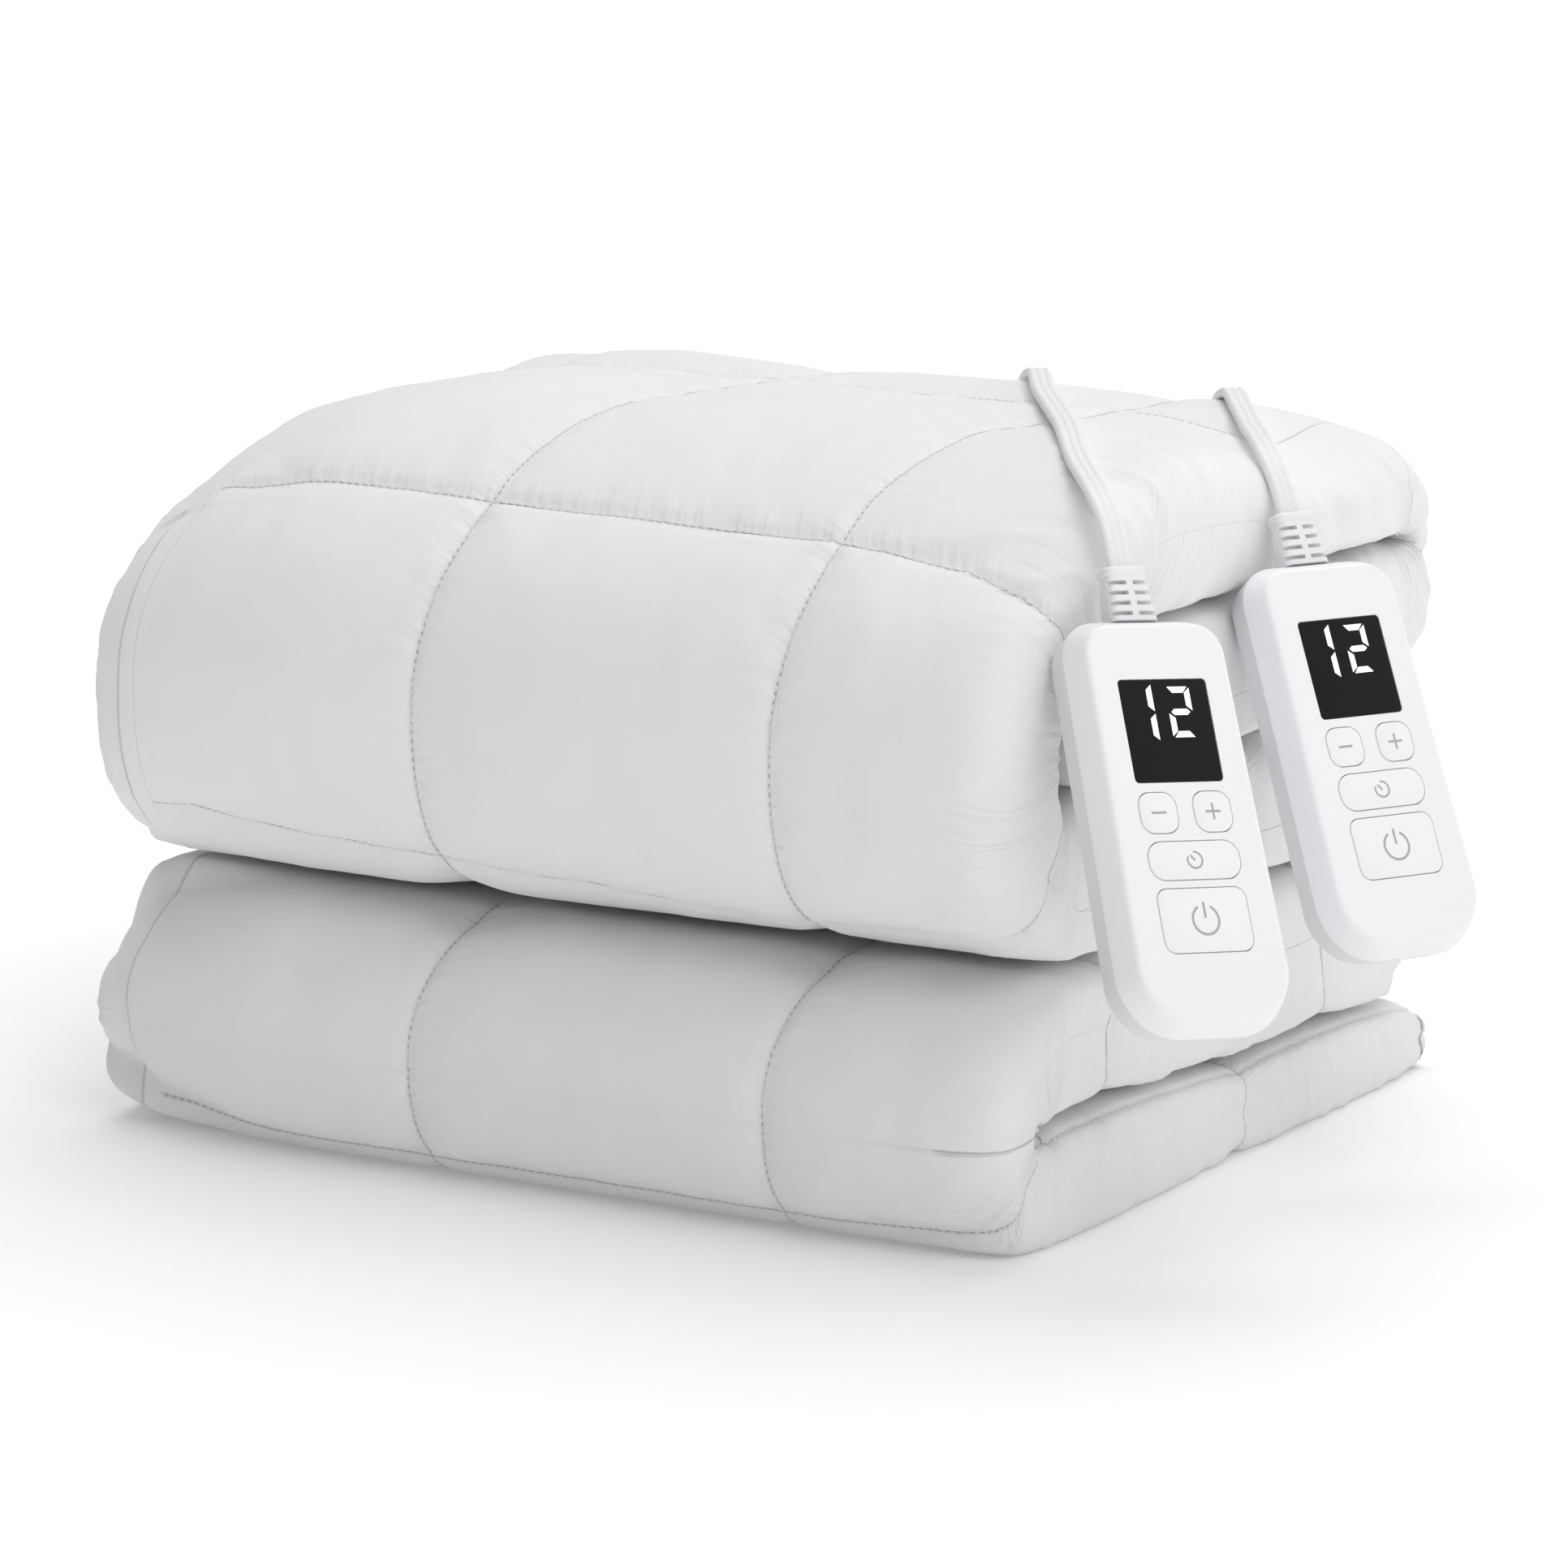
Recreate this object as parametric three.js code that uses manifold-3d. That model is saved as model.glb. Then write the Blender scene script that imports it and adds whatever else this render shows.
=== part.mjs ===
// A quilted heated mattress pad, folded into a five-layer stack, with its two wired hand controllers.
// Millimetres, +X along the stack's width, +Y from its front folds to its back, +Z up, floor at z = 0.
import * as THREE from 'three';
import { mergeVertices } from 'three/addons/utils/BufferGeometryUtils.js';
import Module from 'manifold-3d';

const wasm = await Module();
wasm.setup();

// Driving dimensions of the folded pad
const PAD_WIDTH = 381;            // a quarter of the 1524 mm wide pad, which is folded in four lengthwise
const QUILT_PITCH = 142;          // side of one quilted square
const SEAM_DEPTH = 4;             // how far a quilting seam draws in the cloth that shows
const TOP_SEAM_DEPTH = 1.2;       // the same on top of the stack
const PRESSED_SEAM_DEPTH = 2.5;   // the same between the layers and under the stack
const OUTER_SHELL = { front: -112, back: 120, top: 222 };   // beyond these the cloth shows
const SHELL_BLEND = { top: 12, side: 14 };   // over how far it comes to show
const CROWN = 2;                  // how much fuller a square is at its middle than beside its seams
const EDGE_DRAW = 4;              // how far a cross seam draws in the closed edge
// The closed fold on the right and the hemmed edges on the left: how far the rounding reaches, how
// full it is, and the turns around it at which points lie
const RIGHT_EDGE = { reach: 24, squareness: 0.74, turns: [1 / 6, 1 / 3, 1 / 2, 2 / 3, 5 / 6] };
const LEFT_EDGE = { reach: 20, squareness: 0.86, turns: [5 / 6, 2 / 3, 1 / 2, 1 / 3, 1 / 6] };
const PRESSED_SQUARENESS = 0.5;   // of an edge where a layer lies against it
// Towards each end of the folds the cloth that shows sinks in: from how far out, how far at the
// end, and the share of that in front and at the back
const SHOULDERS = [
  { way: -1, from: 95, sink: 27, front: 1, back: 0.55 },
  { way: 1, from: 105, sink: 26, front: 0.2, back: 1 },
];
const SHOULDER_FRONT = { from: 110, to: -10 };   // y over which a shoulder's share passes to that in front
const SHOULDER_BACK = { from: -50, to: 40 };     // y over which it passes to that at the back
const FLOOR_SINK = 0.4;           // the share that is left on the floor
const OFF_FLOOR = [0.5, 6];       // height over which a face passes from lying on the floor to free
const SINK_BLEND = 14;            // number of fine steps over which one stretch's share passes to the next
const SEAM_FADE = { from: -140, to: -165 };   // where the cross seams die out before the left edge's border
const END_ROUNDING = 9;           // length over which a free end of the pad rounds off
const END_FLATNESS = 0.55;        // thickness left at a free end
const END_WIDTH = 0.985;          // width left at a free end
const LENGTHWISE_SEAMS = [-183, -41, 101];   // x of the seams that run along the folds
const BORDER_SEAMS = 1;           // how many of them lie on the rounded edge, where they draw in nothing
const SEAM_REACH = 13;            // how far from a seam the cloth is drawn in
const MOST_DRAWN = 0.5;           // the most that a face is drawn in, as a share of the thickness
const COLUMN_MARGIN = 4;          // least distance between a column of points and the start of an edge
const RING_MARGIN = 0.03;         // least distance between a ring of points and a free end, in squares

// Each layer of the stack, from the tucked-in end to the bottom: the y where its lower and upper
// face's straight run starts and stops, and their heights there. The bottom one's lower face lies
// under the floor, which presses it flat. outer names the face of the path that may show, a or b,
// and sinks is the share of a shoulder's sink that the layer takes.
const LAYERS = [
  {
    name: 'tucked', outer: 'b', sinks: 0,
    low: { y: [-100, 130], z: [150, 150] }, high: { y: [-100, 130], z: [200, 201] },
  },
  {
    name: 'top', outer: 'b', sinks: 1,
    low: { y: [130, -60], z: [203, 203] }, high: { y: [115, -20], z: [250, 257] },
  },
  {
    name: 'third', outer: 'b', sinks: 0,
    low: { y: [-110, 130], z: [94, 98] }, high: { y: [-110, 130], z: [148, 148] },
  },
  {
    name: 'second', outer: 'b', sinks: 0,
    low: { y: [130, -126], z: [32, 44] }, high: { y: [130, -110], z: [96, 92] },
  },
  {
    name: 'bottom', outer: 'a', sinks: 0,
    low: { y: [-126, 158], z: [-5, -5] }, high: { y: [-126, 158], z: [42, 30] },
  },
];
// Each fold between two layers: its nose on the outside and on the inside as y and z, which face is
// the outer one, and for its first and second quarter how full it is, where 1 is a quarter ellipse
// and less is fuller, and the share of a shoulder's sink that it takes.
const FOLDS = [
  {
    name: 'back of the top', outer: 'b', nose: [168, 198], inner: [138, 202],
    squareness: [0.55, 0.95], sinks: [0, 0.3],
  },
  {
    name: 'front of the top', outer: 'b', nose: [-170, 166], inner: [-119, 172],
    squareness: [1, 0.85], sinks: [1, 0.35],
  },
  {
    name: 'back of the third', outer: 'a', nose: [170, 96], inner: [138, 97],
    squareness: [0.55, 0.75], sinks: [0, 0],
  },
  {
    name: 'front of the second', outer: 'b', nose: [-174, 46], inner: [-134, 43],
    squareness: [1, 0.85], sinks: [0.9, 1.2],
  },
];
// Where cross seams lie: the seam's number, the layer or fold that it is on and how far along that is.
const SEAM_ANCHORS = [
  { seam: 2, layer: 1, along: 0.25 },
  { seam: 3, fold: 1, along: 0.215 },
  { seam: 4, fold: 1, along: 0.8 },
  { seam: 9, fold: 3, along: 0.8 },
  { seam: 10, layer: 4, along: 0.5 },
];
const RING_FRACTIONS = [0, 0.045, 0.17, 0.39, 0.61, 0.83, 0.955];   // of a square, along the path
const STEPS_PER_STRETCH = 60;     // fine steps in which the path is first measured

// Driving dimensions of a hand controller, in its own frame: x across, y towards the cord, z out of its face
const CONTROLLER = {
  length: 141, topWidth: 60, bottomWidth: 64, topCorner: 14, bottomCorner: 21, leastCorner: 3,
};
// The housing's cross-section from the face to the back: depth below the face and inset of the outline
const HOUSING_RINGS = [
  { depth: 0, inset: 6.2 },
  { depth: 0.7, inset: 4.6 },
  { depth: 2.6, inset: 2.2 },
  { depth: 6, inset: 0.6 },
  { depth: 10, inset: 0 },
  { depth: 17, inset: 0.5 },
  { depth: 21.5, inset: 2.6 },
  { depth: 24.2, inset: 6.5 },
  { depth: 25, inset: 11 },
];
const CORNER_STEPS = 6;           // of the housing's outline
const BLOCK_CORNER_STEPS = 4;     // of the keys, the display and the connector
const RELIEF_CORNER_STEPS = 3;
const COIL_CORNER_STEPS = 1;
const FIT = 0.3;                  // gap between pieces that touch
const DISPLAY = { y: 30.5, width: 33, height: 34.5, corner: 1.2, thickness: 0.9, recess: 1.2 };
const KEY_THICKNESS = 3;
const KEY_TRAVEL = 0.8;
const KEY_PROUD = 0.2;
const KEYS = [
  { name: 'minus', x: -10.3, y: 2.8, width: 14, height: 13.6, corner: 4.6 },
  { name: 'plus', x: 10.3, y: 2.8, width: 14, height: 13.6, corner: 4.6 },
  { name: 'timer', x: 0, y: -13.4, width: 34.5, height: 12.8, corner: 5.6 },
  { name: 'power', x: 0, y: -33.5, width: 33.5, height: 21.4, corner: 4 },
];
const RELIEF = {
  depth: 12.5, length: 19, baseWidth: 17.5, baseThickness: 10.5, topWidth: 14.5, topThickness: 8.5,
  collar: 3, collarGrow: 0.8, corner: 2.6,
  slotRows: 4, slotPitch: 3.6, slotHeight: 1.5, slotDepth: 2.6, spine: 2.4, slotFirst: 2.4,
};

// How the two controllers hang: the middle of the face, and the way it looks out
const FACE_AZIMUTH = 61.6;        // degrees from -Y towards +X
const FACE_TILT = 27.7;           // degrees upwards
const CONTROLLERS = [
  { name: 'front', face: [243.5, -138.7, 155.3], roll: 5.0 },
  { name: 'rear', face: [242.9, -1.6, 153.6], roll: 0.7 },
];

// The flat three-core cord, the coil that holds its spare length behind the stack and its connector.
// The coil lies on the floor, with the cord's width upright in it.
const CORD = { width: 9, thickness: 3.6, corner: 0.9 };
const CORD_STEP = 20;
const CORD_STRAIGHT = 7;          // how far the cord runs straight out of its strain relief
const CORD_ASIDE = 2.2;           // how far outside the coil the cord runs into its connector
const COIL = { wall: 12, height: 19.4, corner: 3, sides: 24 };
const CONNECTOR = {
  length: 34, width: 22, height: 11, corner: 3,
  neckLength: 9, neckWidth: 12, neckHeight: 8, neckCorner: 1,
};
// Each cord's free stretch after its strain relief, point by point, and its coil's middle and radius
const CORD_ROUTES = {
  front: {
    points: [
      [193.4, -100.5, 243.5], [184.5, -91.5, 250.2], [173, -77, 253], [159, -58, 254.8],
      [135, -21.9, 259], [105, 25.8, 256.3], [70.5, 79.3, 254.3], [46, 120, 253.3],
      [26, 149.6, 243.8], [9, 168, 216.6], [-5, 172, 180], [-11, 172.4, 130], [-13, 172.8, 82],
      [-14, 174, 42], [-14, 179, 23], [-14, 192, 9.8], [-14, 207, 5], [-14, 220.2, 4.9],
    ],
    coilX: -70, coilY: 248, coilRadius: 58,
  },
  rear: {
    points: [
      [188.8, 29.6, 241.6], [181, 37.5, 247.4], [172, 50, 249], [159, 71, 248.2],
      [141, 98, 250.5], [123.5, 124, 251.5], [107, 148, 240.2], [100, 165.6, 215.5],
      [98.5, 171.5, 181], [99, 172.4, 130], [100, 172.8, 82], [100, 174, 42],
      [100, 179, 23], [100, 192, 9.8], [100, 205, 5], [100, 217.1, 4.9],
    ],
    coilX: 48, coilY: 244, coilRadius: 54,
  },
};

const part = new THREE.Group();

const MATERIALS = {
  cloth: { color: 0xeeeeee, roughness: 0.92, metalness: 0 },
  housing: { color: 0xeef0f4, roughness: 0.42, metalness: 0 },
  key: { color: 0xeff1f5, roughness: 0.4, metalness: 0 },
  display: { color: 0x242424, roughness: 0.22, metalness: 0 },
  rubber: { color: 0xeceef1, roughness: 0.55, metalness: 0 },
};

function addMesh(parent, name, geometry, material) {
  const mesh = new THREE.Mesh(geometry, new THREE.MeshStandardMaterial(MATERIALS[material]));
  mesh.name = name;
  parent.add(mesh);
  return mesh;
}

// Helpers for closed surfaces
function signedVolume(positions, index) {
  const a = new THREE.Vector3();
  const b = new THREE.Vector3();
  const c = new THREE.Vector3();
  let volume = 0;
  for (let i = 0; i < index.length; i += 3) {
    a.fromArray(positions, index[i] * 3);
    b.fromArray(positions, index[i + 1] * 3);
    c.fromArray(positions, index[i + 2] * 3);
    volume += a.dot(b.cross(c));
  }
  return volume;
}

// A closed surface through rings of equal length, with a fan over a middle point at each end
function loft(rings) {
  const size = rings[0].length;
  const positions = rings.flat().flatMap((p) => [p.x, p.y, p.z]);
  const index = [];
  for (let r = 0; r + 1 < rings.length; r += 1) {
    for (let k = 0; k < size; k += 1) {
      const a = r * size + k;
      const b = r * size + (k + 1) % size;
      const c = a + size;
      const d = b + size;
      const sameWay = (r + k) % 2 === 0;
      index.push(...(sameWay ? [a, b, d, a, d, c] : [a, b, c, b, d, c]));
    }
  }
  for (const end of [0, rings.length - 1]) {
    const middle = new THREE.Vector3();
    rings[end].forEach((p) => middle.addScaledVector(p, 1 / size));
    const centre = positions.length / 3;
    positions.push(middle.x, middle.y, middle.z);
    for (let k = 0; k < size; k += 1) {
      const a = end * size + k;
      const b = end * size + (k + 1) % size;
      index.push(...(end === 0 ? [centre, b, a] : [centre, a, b]));
    }
  }
  if (signedVolume(positions, index) < 0) {
    index.reverse();
  }
  const geometry = new THREE.BufferGeometry();
  geometry.setAttribute('position', new THREE.Float32BufferAttribute(positions, 3));
  geometry.setIndex(index);
  return geometry;
}

function toManifold(geometry) {
  const bare = geometry.clone();
  bare.deleteAttribute('normal');
  bare.deleteAttribute('uv');
  const merged = mergeVertices(bare, 1e-4);
  return new wasm.Manifold(new wasm.Mesh({
    numProp: 3,
    vertProperties: new Float32Array(merged.attributes.position.array),
    triVerts: new Uint32Array(merged.index.array),
  }));
}

function fromManifold(solid) {
  const mesh = solid.getMesh();
  const geometry = new THREE.BufferGeometry();
  geometry.setAttribute('position', new THREE.BufferAttribute(new Float32Array(mesh.vertProperties), 3));
  geometry.setIndex(new THREE.BufferAttribute(new Uint32Array(mesh.triVerts), 1));
  return geometry;
}

function roundedRectangle(width, height, corner) {
  const w = width / 2;
  const h = height / 2;
  const shape = new THREE.Shape();
  shape.moveTo(-w + corner, -h);
  shape.lineTo(w - corner, -h);
  shape.absarc(w - corner, -h + corner, corner, -Math.PI / 2, 0, false);
  shape.lineTo(w, h - corner);
  shape.absarc(w - corner, h - corner, corner, 0, Math.PI / 2, false);
  shape.lineTo(-w + corner, h);
  shape.absarc(-w + corner, h - corner, corner, Math.PI / 2, Math.PI, false);
  shape.lineTo(-w, -h + corner);
  shape.absarc(-w + corner, -h + corner, corner, Math.PI, 1.5 * Math.PI, false);
  return shape;
}

// A rounded block between two heights of z
function roundedBlock(width, height, corner, low, high) {
  const shape = roundedRectangle(width, height, corner);
  const geometry = new THREE.ExtrudeGeometry(shape, {
    depth: high - low, bevelEnabled: false, curveSegments: BLOCK_CORNER_STEPS,
  });
  return geometry.translate(0, 0, low);
}

// The pad's path: face a and face b of the folded strip, side by side in the YZ plane

// A fold's face goes from one layer through its nose to the next, as two rounded quarters
function foldPoint(from, nose, to, turn, squareness) {
  const angle = turn * Math.PI;
  const first = angle <= Math.PI / 2;
  const half = first ? from : to;
  const power = squareness[first ? 0 : 1];
  return {
    y: half.y + (nose.y - half.y) * Math.sin(angle) ** power,
    z: nose.z + (half.z - nose.z) * Math.abs(Math.cos(angle)) ** power,
  };
}

// The two faces of a layer's run: on the first, third and fifth layer face a is the upper one
function layerFaces(layer, number, t) {
  const at = ({ y, z }) => ({ y: THREE.MathUtils.lerp(...y, t), z: THREE.MathUtils.lerp(...z, t) });
  const [a, b] = number % 2 === 0 ? [layer.high, layer.low] : [layer.low, layer.high];
  return { a: at(a), b: at(b), outer: layer.outer, sinks: layer.sinks };
}

function foldFaces(number, t) {
  const { nose, inner, outer, squareness, sinks } = FOLDS[number];
  const from = layerFaces(LAYERS[number], number, 1);
  const to = layerFaces(LAYERS[number + 1], number + 1, 0);
  const face = (name) => {
    const [y, z] = outer === name ? nose : inner;
    return foldPoint(from[name], { y, z }, to[name], t, outer === name ? squareness : [1, 1]);
  };
  return { a: face('a'), b: face('b'), outer, sinks: sinks[t < 0.5 ? 0 : 1] };
}

function distance(p, q) {
  return Math.hypot(p.y - q.y, p.z - q.z);
}

// The whole path in fine steps, each with the distance run so far on the outer face
function measurePath() {
  const path = [];
  const anchors = [];
  let run = 0;
  const add = (faces, kind, number, along) => {
    const last = path.at(-1);
    if (last) {
      run += Math.max(distance(last.a, faces.a), distance(last.b, faces.b));
    }
    path.push({ ...faces, run });
    for (const anchor of SEAM_ANCHORS) {
      if (anchor[kind] === number && Math.abs(anchor.along - along) < 0.5 / STEPS_PER_STRETCH) {
        anchors.push({ seam: anchor.seam, run });
      }
    }
  };
  LAYERS.forEach((layer, number) => {
    for (let k = 0; k < STEPS_PER_STRETCH; k += 1) {
      const along = k / STEPS_PER_STRETCH;
      add(layerFaces(layer, number, along), 'layer', number, along);
    }
    if (number === FOLDS.length) {
      add(layerFaces(layer, number, 1), 'layer', number, 1);
      return;
    }
    for (let k = 0; k < STEPS_PER_STRETCH; k += 1) {
      const along = k / STEPS_PER_STRETCH;
      add(foldFaces(number, along), 'fold', number, along);
    }
  });
  return { path: path.map((step, k) => ({ ...step, sinks: evenSinks(path, k) })), anchors };
}

// The share of a shoulder's sink, evened out along the path
function evenSinks(path, k) {
  const near = path.slice(Math.max(0, k - SINK_BLEND), k + SINK_BLEND + 1);
  return near.reduce((sum, step) => sum + step.sinks, 0) / near.length;
}

// Seam number at a distance run: whole numbers are cross seams
function seamAt(run, anchors) {
  const first = anchors[0];
  const last = anchors.at(-1);
  if (run <= first.run) {
    return first.seam - (first.run - run) / QUILT_PITCH;
  }
  if (run >= last.run) {
    return last.seam + (run - last.run) / QUILT_PITCH;
  }
  const k = anchors.findIndex((anchor) => anchor.run >= run);
  const t = (run - anchors[k - 1].run) / (anchors[k].run - anchors[k - 1].run);
  return THREE.MathUtils.lerp(anchors[k - 1].seam, anchors[k].seam, t);
}

// The rings' places along the path: seams, the roll of the cloth beside them, and the two ends
function ringFaces() {
  const { path, anchors } = measurePath();
  const steps = path.map((step) => ({ ...step, seam: seamAt(step.run, anchors) }));
  const start = steps[0].seam;
  const stop = steps.at(-1).seam;
  const wanted = [start];
  for (let square = Math.floor(start); square <= stop; square += 1) {
    for (const fraction of RING_FRACTIONS) {
      const seam = square + fraction;
      if (seam > start + RING_MARGIN && seam < stop - RING_MARGIN) {
        wanted.push(seam);
      }
    }
  }
  wanted.push(stop);
  return wanted.map((seam) => {
    const k = Math.max(1, steps.findIndex((step) => step.seam >= seam - 1e-9));
    const p = steps[k - 1];
    const q = steps[k];
    const t = (seam - p.seam) / (q.seam - p.seam);
    const mix = (u, v) => ({ y: THREE.MathUtils.lerp(u.y, v.y, t), z: THREE.MathUtils.lerp(u.z, v.z, t) });
    const sinks = THREE.MathUtils.lerp(p.sinks, q.sinks, t);
    return { a: mix(p.a, q.a), b: mix(p.b, q.b), outer: p.outer, sinks, seam };
  });
}

// The places across the width: x on the flat faces, and on each edge the turn around it as well
function acrossPlaces() {
  const left = -PAD_WIDTH / 2 + LEFT_EDGE.reach;
  const right = PAD_WIDTH / 2 - RIGHT_EDGE.reach;
  const places = [left];
  for (const seam of LENGTHWISE_SEAMS) {
    for (const fraction of RING_FRACTIONS) {
      const x = seam + fraction * QUILT_PITCH;
      if (x > left + COLUMN_MARGIN && x < right - COLUMN_MARGIN) {
        places.push(x);
      }
    }
  }
  places.push(right);
  const flat = (x, side) => ({ x, side });
  const edge = (middle, way, { reach, squareness, turns }) => turns.map((turn) => (
    { x: middle, way, reach, squareness, turn, side: turn < 0.5 ? 1 : -1 }
  ));
  return [
    ...places.map((x) => flat(x, 1)),
    ...edge(right, 1, RIGHT_EDGE),
    ...places.map((x) => flat(x, -1)).reverse(),
    ...edge(left, -1, LEFT_EDGE),
  ];
}

// How far the cloth is drawn in, from 0 on a full square to 1 on a seam, by the distance to the seam
function seamPull(gap) {
  return Math.exp(-Math.abs(gap) / SEAM_REACH);
}

function nearestSeam(value, seams) {
  return Math.min(...seams.map((seam) => Math.abs(value - seam)));
}

// How much a face of the strip shows: outside is 0 where it is pressed against another or is inside
// a fold, and shown is the same but 0 on the floor as well
function howShown(faces, name) {
  if (faces.outer !== name) {
    return { outside: 0, shown: 0 };
  }
  const face = faces[name];
  const { smoothstep } = THREE.MathUtils;
  const above = smoothstep(face.z, OUTER_SHELL.top, OUTER_SHELL.top + SHELL_BLEND.top);
  const ahead = smoothstep(-face.y, -OUTER_SHELL.front, -OUTER_SHELL.front + SHELL_BLEND.side);
  const behind = smoothstep(face.y, OUTER_SHELL.back, OUTER_SHELL.back + SHELL_BLEND.side);
  const outside = Math.max(above, ahead, behind);
  return { outside, shown: outside * smoothstep(face.z, ...OFF_FLOOR) };
}

// How far the shoulder at either end sinks in at x, on a face at a height and a distance ahead
function shoulderSink(x, face) {
  const { lerp, smoothstep } = THREE.MathUtils;
  const ahead = smoothstep(-face.y, -SHOULDER_FRONT.from, -SHOULDER_FRONT.to);
  const offFloor = lerp(FLOOR_SINK, 1, smoothstep(face.z, ...OFF_FLOOR));
  const behind = smoothstep(face.y, SHOULDER_BACK.from, SHOULDER_BACK.to);
  const sinks = SHOULDERS.map(({ way, from, sink, front, back }) => {
    const share = lerp(1, front, ahead) * lerp(1, back, behind) * offFloor;
    return sink * share * (Math.max(way * x - from, 0) / (PAD_WIDTH / 2 - from)) ** 2;
  });
  return Math.max(...sinks);
}

// A ring of the pad: each face is drawn in at x, and the edges turn from one face to the other
function padRing(faces, places) {
  const { lerp, smoothstep } = THREE.MathUtils;
  const crossGap = Math.abs(faces.seam - Math.round(faces.seam)) * QUILT_PITCH;
  const thickness = distance(faces.a, faces.b);
  const look = { a: howShown(faces, 'a'), b: howShown(faces, 'b') };
  const drawnIn = (name, x) => {
    const lengthGap = nearestSeam(x, LENGTHWISE_SEAMS.slice(BORDER_SEAMS));
    const fade = 1 - smoothstep(-x, -SEAM_FADE.from, -SEAM_FADE.to);
    const topStart = OUTER_SHELL.top + SHELL_BLEND.top;
    const onTop = smoothstep(faces[name].z, topStart, topStart + SHELL_BLEND.top);
    const outside = lerp(SEAM_DEPTH, TOP_SEAM_DEPTH, onTop);
    const depth = lerp(PRESSED_SEAM_DEPTH, outside, look[name].shown);
    const pull = Math.max(seamPull(crossGap) * fade, seamPull(lengthGap)) * depth;
    const square = Math.min(crossGap, lengthGap) / (QUILT_PITCH / 2);
    const crown = CROWN * (1 - Math.min(square, 1)) ** 2;
    const sunk = shoulderSink(x, faces[name]) * look[name].outside * faces.sinks;
    return Math.min((pull + crown + sunk) / thickness, MOST_DRAWN);
  };
  return places.map((place) => {
    const near = place.side > 0 ? 'a' : 'b';
    let x = place.x;
    let turned = 1;
    if (place.turn !== undefined) {
      const power = lerp(PRESSED_SQUARENESS, place.squareness, look[near].shown);
      x += place.way * place.reach * Math.sin(place.turn * Math.PI) ** power;
      turned = Math.abs(Math.cos(place.turn * Math.PI)) ** power;
    }
    const drawnA = drawnIn('a', x);
    const drawnB = drawnIn('b', x);
    const side = place.side * turned;
    const t = lerp(1 - drawnB, drawnA, (1 + side) / 2);
    const edgeDraw = place.way === 1 ? EDGE_DRAW * seamPull(crossGap) * (1 - turned) : 0;
    return new THREE.Vector3(
      x - edgeDraw,
      lerp(faces.a.y, faces.b.y, t),
      Math.max(0, lerp(faces.a.z, faces.b.z, t)),
    );
  });
}

// A free end: the last ring moved on along the path and thinned
function endRing(ring, forward) {
  const middle = new THREE.Vector3();
  ring.forEach((p) => middle.addScaledVector(p, 1 / ring.length));
  return ring.map((p) => new THREE.Vector3(
    p.x * END_WIDTH,
    THREE.MathUtils.lerp(middle.y, p.y, END_FLATNESS) + forward * END_ROUNDING,
    Math.max(0, THREE.MathUtils.lerp(middle.z, p.z, END_FLATNESS)),
  ));
}

function padGeometry() {
  const places = acrossPlaces();
  const rings = ringFaces().map((faces) => padRing(faces, places));
  const tuckedEnd = endRing(rings[0], -1);
  const bottomEnd = endRing(rings.at(-1), 1);
  return loft([tuckedEnd, ...rings, bottomEnd]);
}

// The controller's housing

function housingOutline(inset) {
  const { length, topWidth, bottomWidth, topCorner, bottomCorner, leastCorner } = CONTROLLER;
  const corners = [
    { side: 1, end: -1, width: bottomWidth, corner: bottomCorner, from: -Math.PI / 2 },
    { side: 1, end: 1, width: topWidth, corner: topCorner, from: 0 },
    { side: -1, end: 1, width: topWidth, corner: topCorner, from: Math.PI / 2 },
    { side: -1, end: -1, width: bottomWidth, corner: bottomCorner, from: Math.PI },
  ];
  return corners.flatMap(({ side, end, width, corner, from }) => {
    const radius = Math.max(corner - inset, leastCorner);
    const x = side * (width / 2 - inset - radius);
    const y = end * (length / 2 - inset - radius);
    return Array.from({ length: CORNER_STEPS + 1 }, (_, k) => {
      const angle = from + (k / CORNER_STEPS) * (Math.PI / 2);
      return { x: x + radius * Math.cos(angle), y: y + radius * Math.sin(angle) };
    });
  });
}

function housingGeometry() {
  const rings = HOUSING_RINGS.map(({ depth, inset }) => (
    housingOutline(inset).map((p) => new THREE.Vector3(p.x, p.y, -depth))
  ));
  let solid = toManifold(loft(rings));
  const { y, width, height, corner, recess } = DISPLAY;
  const window = roundedBlock(width + 2 * FIT, height + 2 * FIT, corner + FIT, -recess, 1);
  solid = solid.subtract(toManifold(window.translate(0, y, 0)));
  const pocketFloor = KEY_PROUD - KEY_THICKNESS - KEY_TRAVEL - FIT;
  for (const key of KEYS) {
    const pocket = roundedBlock(key.width + 2 * FIT, key.height + 2 * FIT, key.corner + FIT, pocketFloor, 1);
    solid = solid.subtract(toManifold(pocket.translate(key.x, key.y, 0)));
  }
  return fromManifold(solid);
}

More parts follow.
